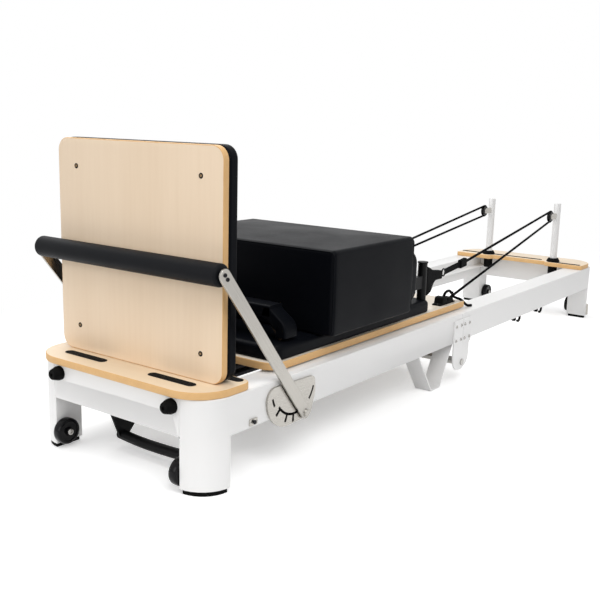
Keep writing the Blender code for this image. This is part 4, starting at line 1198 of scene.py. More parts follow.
@dataclass
class Ropes:
    """Both ropes: from the strap over the sheave and back to the cleat, and the loose tail there.

    The stretches before and after the sheave ride on the head half, and the turn round the sheave goes
    with its pulley block. A tail's knots are places along, beside and above the middle of its cleat:
    first over the ply, then over the side beam.
    """

    radius: float = ROPE_RADIUS
    groove: float = 0.0045
    clearance: float = 0.0006
    over: float = 100.0
    under: float = -105.0
    lead: float = 0.010
    jaw_reach: float = 0.047
    jaw_rise: float = 0.014
    travel: float = 0.95
    tail_step: float = 0.004
    tail_lean: float = 0.02
    beam_rest: float = 0.2368
    knots_on_ply: tuple[tuple[float, float, float], ...] = (
        (-0.014, 0.004, 0.022), (0.004, 0.004, 0.038), (0.030, 0.006, 0.039), (0.052, 0.012, 0.017),
        (0.082, 0.024, 0.004),
    )
    knots_on_beam: tuple[tuple[float, float, float], ...] = ((0.108, 0.034, 0.004), (0.132, 0.040, 0.0))

    def build(self, shop: Shop) -> None:
        """Builds both sides.

        Args:
            shop: the finishes.
        """
        for side, sign in SIDES.items():
            self.rope(side, sign, shop)
            self.tail(side, sign, shop)

    def rope(self, side: str, sign: int, shop: Shop) -> None:
        """Rope of one side on the route of its solid.

        Args:
            side: near or far.
            sign: side of the frame.
            shop: the finishes.
        """
        low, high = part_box("sheave_" + side)
        sheave = (np.array(low) + np.array(high)) / 2
        wrap = (high[2] - low[2]) / 2 - self.groove + self.radius + self.clearance
        start = rope_start(side, sign)
        run = start - loop_tip(sign)
        bend = start + run / np.linalg.norm(run) * self.lead
        end = np.array([at(CLEAT_X + self.jaw_reach), sign * ROPE_Y, bed_top() + self.jaw_rise])
        angle = np.radians(np.linspace(self.over, self.under, 25))
        turn = sheave + wrap * np.stack([np.cos(angle), np.zeros(25), np.sin(angle)], -1)
        share = np.linspace(0, 1, 16)[:, None]
        upper = np.vstack([start[None], bend + (turn[0] - bend) * share])
        lower = turn[-1] + (end - turn[-1]) * share
        self.stretch("upper", side, upper, sheave[0], shop)
        self.stretch("lower", side, lower, sheave[0], shop)
        self.cord("rope_turn_" + side, turn, "pulley_" + side, shop, "rope_" + side)

    def stretch(self, label: str, side: str, path: Array, anchor: float, shop: Shop) -> None:
        """Stretch of rope that rides on the head half.

        Args:
            label: upper or lower.
            side: near or far.
            path: its points.
            anchor: not used.
            shop: the finishes.
        """
        rope = self.cord(f"rope_{label}_{side}", path, "head_half", shop, "rope_" + side)
        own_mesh(rope)

    def tail(self, side: str, sign: int, shop: Shop) -> None:
        """Loose end that leaves the cleat, humps over its block and comes to lie on the side beam.

        Args:
            side: near or far.
            sign: side of the frame.
            shop: the finishes.
        """
        knots = [(along, aside, bed_top() + rise) for along, aside, rise in self.knots_on_ply]
        knots += [(along, aside, self.beam_rest + rise) for along, aside, rise in self.knots_on_beam]
        places = [(at(CLEAT_X + along), sign * (ROPE_Y + aside), z) for along, aside, z in knots]
        path = resample(np.array(places), self.tail_step)
        self.cord("rope_tail_" + side, path, "carriage", shop, lean=self.tail_lean, far_end="bare",
                  lay="loose")

    def cord(
        self,
        name: str,
        path: Array,
        body: str,
        shop: Shop,
        *nodes: str,
        lean: float = 0.0,
        far_end: str = "object",
        lay: str = "taut",
    ) -> Thing:
        """Round rope carried along a path.

        Args:
            name: name of the piece.
            path: its points.
            body: body that it follows.
            shop: the finishes.
            *nodes: frame parts that it stands for.
            lean: tilt of the direction that the section is held against.
            far_end: not used.
            lay: not used.

        Returns:
            The piece.
        """
        run = run_length(path)
        rings = carried(path, circle(self.radius), (0, 1, lean))
        rope = skin(name, rings, [shop.rope], sharp=80, along=run / self.radius)
        settle(rope, body, "black_webbing", *nodes)
        return rope


@dataclass
class FrameHalf:
    """One half of the white bed frame: beams with corner legs, rubber feet, wheels and hinge plates."""

    label: str
    body: str
    bolt_radius: float = 0.0055
    bolt_rows: tuple[float, float] = (0.195, 0.147)
    bolt_columns: tuple[float, float] = (0.013, 0.048)
    hub_height: float = 0.003
    tread: float = 0.024
    axle_head: float = 0.0085

    def build(self, shop: Shop) -> None:
        """Dresses the beams, feet and plates, and builds the wheels and bolts.

        Args:
            shop: the finishes.
        """
        for side, sign in SIDES.items():
            tag = f"{self.label}_{side}"
            settle(smooth_copy("side_frame_" + tag, shop.paint), self.body, "white_paint")
            settle(smooth_copy("rubber_foot_" + tag, shop.rubber), self.body, "black_rubber")
            plate = f"hinge_plate_{self.label}_{side}"
            settle(smooth_copy(plate, shop.paint, PLATE_EDGE), self.body, "white_paint")
            self.wheel(tag, sign, shop)
            self.plate_bolts(plate, sign, shop)

    def wheel(self, tag: str, sign: int, shop: Shop) -> None:
        """Transport wheel: revolved tread with a sunk web, a hub and a steel axle end.

        Its profile is a list of radius and depth behind the rim's face, which looks to the bed's middle.

        Args:
            tag: half and side.
            sign: side of the frame.
            shop: the finishes.
        """
        node = "transport_wheel_" + tag
        low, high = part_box(node)
        radius = (high[2] - low[2]) / 2
        face = low[1] if sign > 0 else high[1]
        rim_face = face + sign * self.hub_height
        centre = ((low[0] + high[0]) / 2, 0, (low[2] + high[2]) / 2)
        hub = [(0.004, -self.hub_height), (0.010, -self.hub_height), (0.011, 0.0), (0.0115, 0.003)]
        web = [(radius * 0.58, 0.0035), (radius - 0.009, 0.0028), (radius - 0.008, 0.0)]
        shoulder = [(0.004, 0.0), (0.0017, 0.0012), (0.0004, 0.004), (0.0, 0.008)]
        rim = [(radius - less, depth) for less, depth in shoulder]
        rim += [(radius - less, self.tread - depth) for less, depth in shoulder[::-1]]
        stations = hub + web + rim + [(0.006, self.tread)]
        profile = [(r, rim_face + sign * depth) for r, depth in stations]
        wheel = turned("wheel_" + tag, profile, centre, Axis.Y, shop.gloss)
        settle(wheel, "wheel_" + tag, "wheel_plastic", node)
        place = (centre[0], face, centre[2])
        end = bolt_heads("wheel_bolt_" + tag, [place], Axis.Y, -sign, self.axle_head, shop.bolt)
        settle(end, "wheel_" + tag, "stainless_steel")

    def plate_bolts(self, plate: str, sign: int, shop: Shop) -> None:
        """Four bolts through a hinge plate.

        Args:
            plate: node of the plate.
            sign: side of the frame.
            shop: the finishes.
        """
        low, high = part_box(plate)
        face = high[1] if sign > 0 else low[1]
        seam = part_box("side_frame_foot_near")[1][0]
        toward = -1 if self.label == "foot" else 1
        columns = [seam + toward * column for column in self.bolt_columns]
        places = [(x, face, z) for x in columns for z in self.bolt_rows]
        heads = bolt_heads(f"{plate}_bolts", places, Axis.Y, sign, self.bolt_radius, shop.bolt)
        settle(heads, self.body, "stainless_steel")


@dataclass
class FootEnd:
    """End beam with bumpers, ply platform with grip strips, spring bar, lift handle and V legs."""

    front_radius: float = 0.10
    back_radius: float = 0.03
    strip_x: float = 0.046
    strip_back_x: float = 0.145
    strip_width: float = 0.025
    strip_inner: float = 0.078
    strip_outer: float = 0.226
    strip_end: float = 0.285
    strip_rounding: float = 0.95
    bumper_gap: float = 0.0002
    bracket_x: float = 0.162
    bracket_z: float = 0.152
    bracket_half: tuple[float, float] = (0.015, 0.0085)
    bracket_thickness: float = 0.0025
    bracket_corner: float = 0.003
    bracket_screw_radius: float = 0.0026
    bracket_screws: tuple[float, float] = (-0.0115, 0.0115)
    knob: tuple[tuple[float, float], ...] = (
        (0.0035, 0.0025), (0.0035, 0.0042), (0.0052, 0.005), (0.0052, 0.0075), (0.0042, 0.0085),
    )
    handle_reach: float = 1.5

    def build(self, shop: Shop) -> None:
        """Builds and dresses the foot end; the beam's faces ahead of its end are the rubber bumpers.

        Args:
            shop: the finishes.
        """
        beam = smooth_copy("end_beam_foot", shop.paint)
        beam.data.materials.append(shop.rubber)
        centres = np.zeros(len(beam.data.polygons) * 3)
        beam.data.polygons.foreach_get("center", centres)
        bumpers = centres.reshape(-1, 3)[:, 0] < FOOT_END - self.bumper_gap
        beam.data.polygons.foreach_set("material_index", bumpers.astype(np.int32))
        settle(beam, "frame", "white_paint")
        settle(smooth_copy("spring_bar", shop.dark), "frame", "dark_steel")
        self.handle(shop)
        for side, sign in SIDES.items():
            settle(smooth_copy("v_leg_" + side, shop.paint, PLATE_EDGE), "frame", "white_paint")
            self.bracket(side, sign, shop)
        self.platform(shop)

    def handle(self, shop: Shop) -> None:
        """Lift handle, with its near half drawn out so that its gusset stands behind the near leg.

        Args:
            shop: the finishes.
        """
        handle = smooth_copy("lift_handle", shop.dark, PLATE_EDGE)
        points = np.zeros(len(handle.data.vertices) * 3)
        handle.data.vertices.foreach_get("co", points)
        points = points.reshape(-1, 3)
        points[:, 1] = np.where(points[:, 1] < 0, points[:, 1] * self.handle_reach, points[:, 1])
        handle.data.vertices.foreach_set("co", points.ravel())
        handle.data.update()
        settle(handle, "frame", "dark_steel")

    def bracket(self, side: str, sign: int, shop: Shop) -> None:
        """Small steel plate with a pull knob between two screws, low on the side beam.

        Args:
            side: near or far.
            sign: side of the frame.
            shop: the finishes.
        """
        low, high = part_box("side_frame_foot_" + side)
        face = high[1] if sign > 0 else low[1]
        front = face + sign * self.bracket_thickness
        x = at(self.bracket_x)
        z = self.bracket_z
        wide, tall = self.bracket_half
        outline = rectangle((x - wide, z - tall), (x + wide, z + tall), self.bracket_corner, 5)
        ends = sorted((face, front))
        plate = slab("bracket_" + side, outline, ends[0], ends[1], Plane.XZ, PLATE_EDGE, shop.steel)
        settle(plate, "frame", "stainless_steel")
        profile = [(radius, face + sign * out) for radius, out in self.knob]
        knob = turned("bracket_knob_" + side, profile, (x, 0, z), Axis.Y, shop.spring, 24)
        settle(knob, "frame", "dark_steel")
        places = [(x + offset, front, z) for offset in self.bracket_screws]
        screws = bolt_heads("bracket_screws_" + side, places, Axis.Y, sign, self.bracket_screw_radius,
                            shop.bolt)
        settle(screws, "frame", "stainless_steel")

    def platform(self, shop: Shop) -> None:
        """Ply platform and its four grip strips.

        Args:
            shop: the finishes.
        """
        low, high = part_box("platform_foot")
        corners = [
            (low[0], low[1], self.front_radius), (high[0], low[1], self.back_radius),
            (high[0], high[1], self.back_radius), (low[0], high[1], self.front_radius),
        ]
        outline = outline_of(corners, 16)
        deck = slab("foot_platform_ply", outline, low[2], high[2], Plane.XY, PLATFORM_EDGE, shop.deck_face,
                    shop.deck_edge)
        settle(deck, "frame", "birch_ply", "platform_foot")
        half = self.strip_width / 2
        for side, sign in SIDES.items():
            for label, x, inner, outer in (
                ("front", at(self.strip_x), self.strip_inner, self.strip_outer),
                ("back", at(self.strip_back_x), self.strip_outer, self.strip_end),
            ):
                start, end = sorted((sign * inner, sign * outer))
                grip_strip(f"grip_{label}_{side}", (x - half, start), (x + half, end),
                           half * self.strip_rounding, 8, high[2], "frame", shop)


@dataclass
class FootBar:
    """Stainless arms on their quadrant plates with the foam grip between them.

    The corners of a plate and of its black sheet of painted shadow count from the corners of a box, as in
    box_corners.
    """

    pivot_x: float = 0.357
    pivot_z: float = 0.1265
    screw_radius: float = 0.005
    screws: tuple[float, float] = (-0.003, 0.0105)
    pivot_radius: float = 0.0085
    pivot_head: float = 0.006
    arm_edge: float = 0.0008
    grip_roll: float = 0.006
    tube_inset: float = 0.002
    tube_ease: float = 0.001
    washer_rim: float = 0.004
    washer_thickness: float = 0.0012
    washer_edge: float = 0.0004
    slot_centre: tuple[float, float] = (0.318, 0.2135)
    slot_radius: float = 0.080
    slot_half: float = 0.0034
    index_slot: tuple[float, float] = (217.0, 285.0)
    low_slot: tuple[float, float, float] = (194.0, 208.0, 0.0115)
    high_slot: tuple[float, float, float] = (317.0, 342.0, 0.0035)
    tooth_length: float = 0.018
    tooth_half: float = 0.0036
    teeth: tuple[float, float, float] = (222.5, 248.0, 267.0)
    plate_corners: tuple[tuple[int, int, float, float, float], ...] = (
        (0, 1, 0.0, 0.0, 0.033), (0, 0, 0.0, 0.0, 0.080), (1, 0, -0.020, 0.006, 0.020),
        (1, 0, 0.0, 0.0675, 0.040), (1, 1, -0.004, -0.0055, 0.015),
    )
    # Corners and sizes of the black sheet that paints the shadow behind a quadrant plate's slots
    shadow_sheet_corners: tuple[tuple[int, int, float, float, float], ...] = (
        (0, 1, 0.0, 0.0, 0.030), (0, 0, 0.0, 0.0, 0.078), (1, 0, -0.012, 0.0, 0.020),
        (1, 1, 0.0, -0.046, 0.030), (1, 1, 0.0, -0.006, 0.012),
    )
    shadow_sheet_thickness: float = 0.0002
    shadow_sheet_edge: float = 0.00005
    shadow_sheet_seat: float = 0.00003
    shadow_sheet_margin: float = 0.004

    def build(self, shop: Shop) -> None:
        """Dresses the arms and plates and builds the grip.

        Args:
            shop: the finishes.
        """
        low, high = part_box("foot_bar_grip")
        centre = ((low[0] + high[0]) / 2, 0, (low[2] + high[2]) / 2)
        self.grip(centre, (high[2] - low[2]) / 2, high[1], shop)
        for side, sign in SIDES.items():
            arm = smooth_copy("foot_bar_arm_" + side, shop.arm, self.arm_edge)
            settle(arm, "foot_bar", "stainless_steel")
            self.quadrant(side, shop)
            self.quadrant_shadow_sheet(side, sign, shop)
            self.arm_fittings(side, sign, centre, shop)

    def arm_fittings(self, side: str, sign: int, centre: tuple[float, float, float], shop: Shop) -> None:
        """Two screws at an arm's grip end, and the washer and bolt at its pivot.

        The arm's outer face lies inside its box by the height of the pivot bolt's head.

        Args:
            side: near or far.
            sign: side of the frame.
            centre: middle of the grip.
            shop: the finishes.
        """
        low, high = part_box("foot_bar_arm_" + side)
        face = (high[1] - self.pivot_head) if sign > 0 else (low[1] + self.pivot_head)
        x = at(self.pivot_x)
        run = np.array([x - centre[0], self.pivot_z - centre[2]])
        run /= np.linalg.norm(run)
        places = [(centre[0] + run[0] * s, face, centre[2] + run[1] * s) for s in self.screws]
        heads = bolt_heads("arm_screws_" + side, places, Axis.Y, sign, self.screw_radius, shop.spring)
        settle(heads, "foot_bar", "dark_steel")
        front = face + sign * self.washer_thickness
        rim = self.pivot_radius + self.washer_rim
        profile = [(rim, face), (rim - self.washer_edge, front), (self.pivot_radius, front)]
        flat_ring = turned("pivot_washer_" + side, profile, (x, 0, self.pivot_z), Axis.Y, shop.bolt, 40)
        settle(flat_ring, "foot_bar", "stainless_steel")
        bolt = bolt_heads("pivot_bolt_" + side, [(x, front, self.pivot_z)], Axis.Y, sign,
                          self.pivot_radius, shop.spring)
        settle(bolt, "foot_bar", "dark_steel")

    def grip(self, centre: tuple[float, float, float], radius: float, half: float, shop: Shop) -> None:
        """Foam grip with rolled ends on its steel tube.

        Args:
            centre: middle of the grip.
            radius: its outer radius.
            half: half its length.
            shop: the finishes.
        """
        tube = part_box("foot_bar_tube")
        bore = (tube[1][2] - tube[0][2]) / 2
        roll = self.grip_roll
        turn = np.linspace(0, math.pi / 2, 7)
        end = [(radius - roll + roll * math.sin(t), half - roll + roll * math.cos(t)) for t in turn]
        profile = [(bore, half)] + end + [(r, -y) for r, y in end[::-1]] + [(bore, -half)]
        foam = turned("foam_grip", profile, centre, Axis.Y, shop.foam, 72, ring=True)
        settle(foam, "foot_bar", "black_foam", "foot_bar_grip")
        narrow = bore - self.tube_inset
        eased = self.tube_ease
        bar = [(narrow, tube[0][1]), (bore, tube[0][1] + eased), (bore, tube[1][1] - eased),
               (narrow, tube[1][1])]
        rod = turned("grip_tube", bar, centre, Axis.Y, shop.dark, 48)
        settle(rod, "foot_bar", "dark_steel", "foot_bar_tube")

    def arc_slot(self, start: float, end: float, rise: float = 0.0, teeth: tuple[float, ...] = ()) -> Array:
        """Outline of an arc slot with teeth cut outward from it.

        At each angle the outer radius grows by the tooth's length where the arc distance to a tooth is less
        than half its width.

        Args:
            start: angle of its start in degrees.
            end: angle of its end.
            rise: how far its middle line lies outside the index slot's.
            teeth: angles of the teeth.

        Returns:
            (n, 2) points.
        """
        middle = self.slot_radius + rise
        turn = np.linspace(start, end, 241)
        outer = np.full(turn.shape, middle + self.slot_half)
        for tooth in teeth:
            outer[np.abs(np.radians(turn - tooth)) * middle < self.tooth_half] += self.tooth_length
        turn = np.radians(np.concatenate([turn, turn[::-3]]))
        radius = np.concatenate([outer, np.full(turn.size - outer.size, middle - self.slot_half)])
        x, z = self.slot_centre
        return np.stack([at(x) + radius * np.cos(turn), z + radius * np.sin(turn)], -1)

    def quadrant(self, side: str, shop: Shop) -> None:
        """Quadrant plate with its toothed index slot and two plain slots.

        Its corners are cut back from those of its box at the toe, the heel and the top.

        Args:
            side: near or far.
            shop: the finishes.
        """
        low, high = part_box("quadrant_plate_" + side)
        corners = box_corners((low[0], low[2]), (high[0], high[2]), self.plate_corners)
        slots = [
            self.arc_slot(*self.index_slot, teeth=self.teeth),
            self.arc_slot(*self.low_slot),
            self.arc_slot(*self.high_slot),
        ]
        plate = pierced("quadrant_" + side, outline_of(corners, 12), slots, low[1], high[1], Plane.XZ,
                        shop.steel)
        settle(plate, "frame", "stainless_steel", "quadrant_plate_" + side)

    def quadrant_shadow_sheet(self, side: str, sign: int, shop: Shop) -> None:
        """Thin black sheet between a quadrant plate and its beam: painted shadow that shows through the
        slots in place of the shade inside the hollow beam.

        Args:
            side: near or far.
            sign: side of the frame.
            shop: the finishes.
        """
        low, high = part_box("quadrant_plate_" + side)
        beam_low, beam_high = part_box("side_frame_foot_" + side)
        face = (beam_high[1] if sign > 0 else beam_low[1]) + sign * self.shadow_sheet_seat
        left = low[0] + self.shadow_sheet_margin
        right = high[0] - self.shadow_sheet_margin
        bottom = low[2] + self.shadow_sheet_margin
        top = min(high[2], beam_high[2]) - self.shadow_sheet_margin
        corners = box_corners((left, bottom), (right, top), self.shadow_sheet_corners)
        ends = sorted((face, face + sign * self.shadow_sheet_thickness))
        # Black rubber sheet: painted shadow of the hollow beam seen through the slots
        shadow_sheet = slab("quadrant_shadow_sheet_" + side, outline_of(corners, 8), ends[0], ends[1], Plane.XZ,
                    self.shadow_sheet_edge, shop.rubber)
        settle(shadow_sheet, "frame", "black_rubber")


@dataclass
class JumpBoard:
    """Ply board with its sunk screws and the vinyl pad behind it.

    The profile of the dark ring round a screw, which paints the shade of its sunk hole, is a list of radius
    and height over the board's face.
    """

    corner: float = 0.033
    screw_y: float = 0.212
    screw_rows: tuple[float, float] = (0.318, 0.728)
    screw_radius: float = 0.0033
    screw_height: float = 0.0002
    hole_shade_profile: tuple[tuple[float, float], ...] = (
        (0.0066, 0.0), (0.0062, 0.0007), (0.0046, 0.0007), (0.0036, 0.0002),
    )
    pad_growth: float = 0.009
    pad_edge: float = 0.010
    pad_crown: float = 0.004

    def build(self, shop: Shop) -> None:
        """Builds board, screws and pad.

        Args:
            shop: the finishes.
        """
        low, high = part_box("jump_board_ply")
        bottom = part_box("platform_foot")[1][2] + SEAT_GAP
        outline = rectangle((low[1], bottom), (high[1], high[2]), self.corner, 14)
        board = slab("board_ply", outline, low[0], high[0], Plane.YZ, PLY_EDGE, shop.board_face,
                     shop.board_edge)
        settle(board, "jump_board", "birch_ply", "jump_board_ply")
        for side, sign in SIDES.items():
            for label, row in zip(("low", "high"), self.screw_rows):
                self.screw(f"{label}_{side}", (low[0], sign * self.screw_y, row), shop)
        low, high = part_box("jump_board_pad")
        high[0] += self.pad_growth
        pad = upholstered("board_pad", low, high, Plane.YZ, self.corner, self.pad_edge, self.pad_crown,
                          shop.vinyl)
        settle(pad, "jump_board", "black_vinyl", "jump_board_pad")

    def screw(self, tag: str, place: tuple[float, float, float], shop: Shop) -> None:
        """Small screw in a dark ring that paints the shade of its sunk hole: both are revolved about X.

        Args:
            tag: which screw.
            place: its centre on the board's face.
            shop: the finishes.
        """
        x, y, z = place
        profile = [(radius, x - height) for radius, height in self.hole_shade_profile]
        # Dark steel ring: painted shade of the screw's sunk hole
        flat_ring = turned("board_hole_shade_" + tag, profile, (0, y, z), Axis.X, shop.dark, 24)
        settle(flat_ring, "jump_board", "dark_steel")
        seat = (x - self.screw_height, y, z)
        head = bolt_heads("board_screw_" + tag, [seat], Axis.X, -1, self.screw_radius, shop.brass)
        settle(head, "jump_board", "stainless_steel")


@dataclass
class Carriage:
    """Ply base, pad, arch, shoulder rests, cleats, springs, underframe and rollers.

    The corners of a cleat's side are places along and above its middle on the ply, with a radius.
    """

    wire: float = 0.0014
    coils: int = 200
    back_corner: float = 0.045
    front_corner: float = 0.012
    pad_corner: float = 0.030
    pad_edge: float = 0.014
    pad_crown: float = 0.001
    arch_thickness: float = 0.034
    arch_leg: float = 0.026
    arch_slope: float = 0.052
    arch_roll: float = 0.006
    arch_step: float = 0.006
    arch_overhang: float = 0.0015
    arch_gap: float = 0.0005
    arch_foot: float = 0.001
    arch_radii: tuple[float, float] = (0.014, 0.020)
    former_edge: float = 0.001
    rest_corner: float = 0.045
    rest_edge: float = 0.018
    rest_crown: float = 0.006
    cleat_half: float = 0.016
    cleat_edge: float = 0.0015
    cleat_corners: tuple[tuple[float, float, float], ...] = (
        (-0.052, 0.0, 0.0), (0.052, 0.0, 0.0), (0.052, 0.005, 0.002), (0.040, 0.006, 0.003),
        (0.036, 0.020, 0.006), (0.002, 0.020, 0.004), (0.0, 0.012, 0.002), (-0.006, 0.012, 0.002),
        (-0.010, 0.027, 0.005), (-0.034, 0.027, 0.008), (-0.040, 0.006, 0.003), (-0.052, 0.005, 0.002),
    )
    cleat_screws: tuple[float, float] = (-0.046, 0.046)
    cleat_foot: float = 0.0038
    cleat_screw_radius: float = 0.0032
    pin: tuple[float, float] = (0.045, 0.010)
    pin_profile: tuple[tuple[float, float], ...] = ((0.0016, 0.0), (0.0016, 0.036), (0.0008, 0.037))

    def build(self, shop: Shop) -> None:
        """Builds and dresses the carriage.

        Args:
            shop: the finishes.
        """
        self.deck(shop)
        low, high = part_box("carriage_pad")
        pad = upholstered("bed_pad", low, high, Plane.XY, self.pad_corner, self.pad_edge, self.pad_crown,
                          shop.vinyl)
        settle(pad, "carriage", "black_vinyl", "carriage_pad")
        settle(smooth_copy("carriage_underframe", shop.dark, PLATE_EDGE), "carriage", "dark_steel")
        for label in ("back", "front"):
            settle(smooth_copy("roller_set_" + label, shop.dark), "rollers_" + label, "wheel_plastic")
        for index in (1, 2, 3):
            self.coil(index, shop)
        self.arch(shop)
        for side, sign in SIDES.items():
            self.shoulder_rest(side, shop)
            self.cleat(side, sign, shop)

    def deck(self, shop: Shop) -> None:
        """Ply base.

        Args:
            shop: the finishes.
        """
        low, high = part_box("carriage_base")
        corners = [
            (low[0], low[1], self.back_corner), (high[0], low[1], self.front_corner),
            (high[0], high[1], self.front_corner), (low[0], high[1], self.back_corner),
        ]
        deck = slab("carriage_ply", outline_of(corners, 12), low[2], bed_top(), Plane.XY, PLY_EDGE,
                    shop.bed_face, shop.deck_edge)
        settle(deck, "carriage", "birch_ply", "carriage_base")

    def cleat(self, side: str, sign: int, shop: Shop) -> None:
        """Rope cleat: a foot plate with a high and a low jaw, a guide pin and two screws.

        Args:
            side: near or far.
            sign: side of the frame.
            shop: the finishes.
        """
        x = at(CLEAT_X)
        top = bed_top()
        ends = sorted((sign * (ROPE_Y - self.cleat_half), sign * (ROPE_Y + self.cleat_half)))
        corners = [(x + along, top + above, radius) for along, above, radius in self.cleat_corners]
        block = slab("cleat_" + side, outline_of(corners, 5), ends[0], ends[1], Plane.XZ, self.cleat_edge,
                     shop.rubber)
        settle(block, "carriage", "wheel_plastic")
        along, aside = self.pin
        profile = [(radius, top + above) for radius, above in self.pin_profile]
        pin = turned("cleat_pin_" + side, profile, (x + along, sign * (ROPE_Y + aside), 0), Axis.Z,
                     shop.dark, 12)
        settle(pin, "carriage", "dark_steel")
        places = [(x + offset, sign * ROPE_Y, top + self.cleat_foot) for offset in self.cleat_screws]
        screws = bolt_heads("cleat_screws_" + side, places, Axis.Z, 1, self.cleat_screw_radius, shop.bolt)
        settle(screws, "carriage", "stainless_steel")

    def coil(self, index: int, shop: Shop) -> None:
        """Carriage spring: a close helix that narrows to a point at both ends.

        It stretches between the frame and the carriage.

        Args:
            index: number of the spring.
            shop: the finishes.
        """
        node = f"carriage_spring_{index}"
        low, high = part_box(node)
        radius = (high[2] - low[2]) / 2 - self.wire
        middle = (low + high) / 2
        length = high[0] - low[0] - 2 * self.wire
        share = np.linspace(0, 1, self.coils * 10)
        rise = np.clip(np.minimum(share, 1 - share) * 30, 0, 1)
        turn = share * self.coils * 2 * math.pi
        path = np.stack([
            low[0] + self.wire + length * share,
            middle[1] + radius * rise * np.cos(turn),
            middle[2] + radius * rise * np.sin(turn),
        ], -1)
        rings = carried(path, circle(self.wire, 6), (1, 0, 0))
        spring = skin(f"coil_spring_{index}", rings, [shop.spring], sharp=80)
        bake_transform(spring)
        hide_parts(node)
        LOG.info("%s: %d points between frame and carriage", spring.name, len(spring.data.vertices))

    def arch(self, shop: Shop) -> None:
        """Padded arch: a soft section carried over the former, with the ply former under it.

        Args:
            shop: the finishes.
        """
        # The former's darkened ply paints the shade under the arch
        settle(smooth_copy("arch_former", shop.former, self.former_edge), "carriage", "birch_ply")
        low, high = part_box("arch_pad")
        thick = self.arch_thickness
        middle = (low[0] + high[0]) / 2
        top = high[2] - thick / 2 - self.arch_gap
        half = high[1] - thick / 2
        foot = low[2] + self.arch_foot
        shoulder = low[2] + self.arch_leg
        outer, inner = self.arch_radii
        right_half = [
            (half, foot, 0.0), (half, shoulder, outer), (half - self.arch_slope, top, inner),
        ]
        left_half = [(-y, z, radius) for y, z, radius in right_half[::-1]]
        flat = outline_of(right_half + left_half, 10)
        path = resample(place_in(Plane.YZ, flat[:, 0], flat[:, 1], np.array(middle)), self.arch_step)
        reach = (high[0] - low[0]) / 2 + self.arch_overhang
        section = rectangle((-thick / 2, -reach), (thick / 2, reach), self.arch_roll, 6)
        rings = carried(path, section, (1, 0, 0))
        pad = skin("arch_cushion", rings, [shop.vinyl], sharp=60)
        settle(pad, "carriage", "black_vinyl", "arch_pad")

    def shoulder_rest(self, side: str, shop: Shop) -> None:
        """Shoulder pad and its post.

        Args:
            side: near or far.
            shop: the finishes.
        """
        low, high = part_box("shoulder_pad_" + side)
        pad = upholstered("shoulder_cushion_" + side, low, high, Plane.YZ, self.rest_corner,
                          self.rest_edge, self.rest_crown, shop.vinyl)
        settle(pad, "carriage", "black_vinyl", "shoulder_pad_" + side)
        settle(smooth_copy("shoulder_post_" + side, shop.dark, PLATE_EDGE), "carriage", "dark_steel")


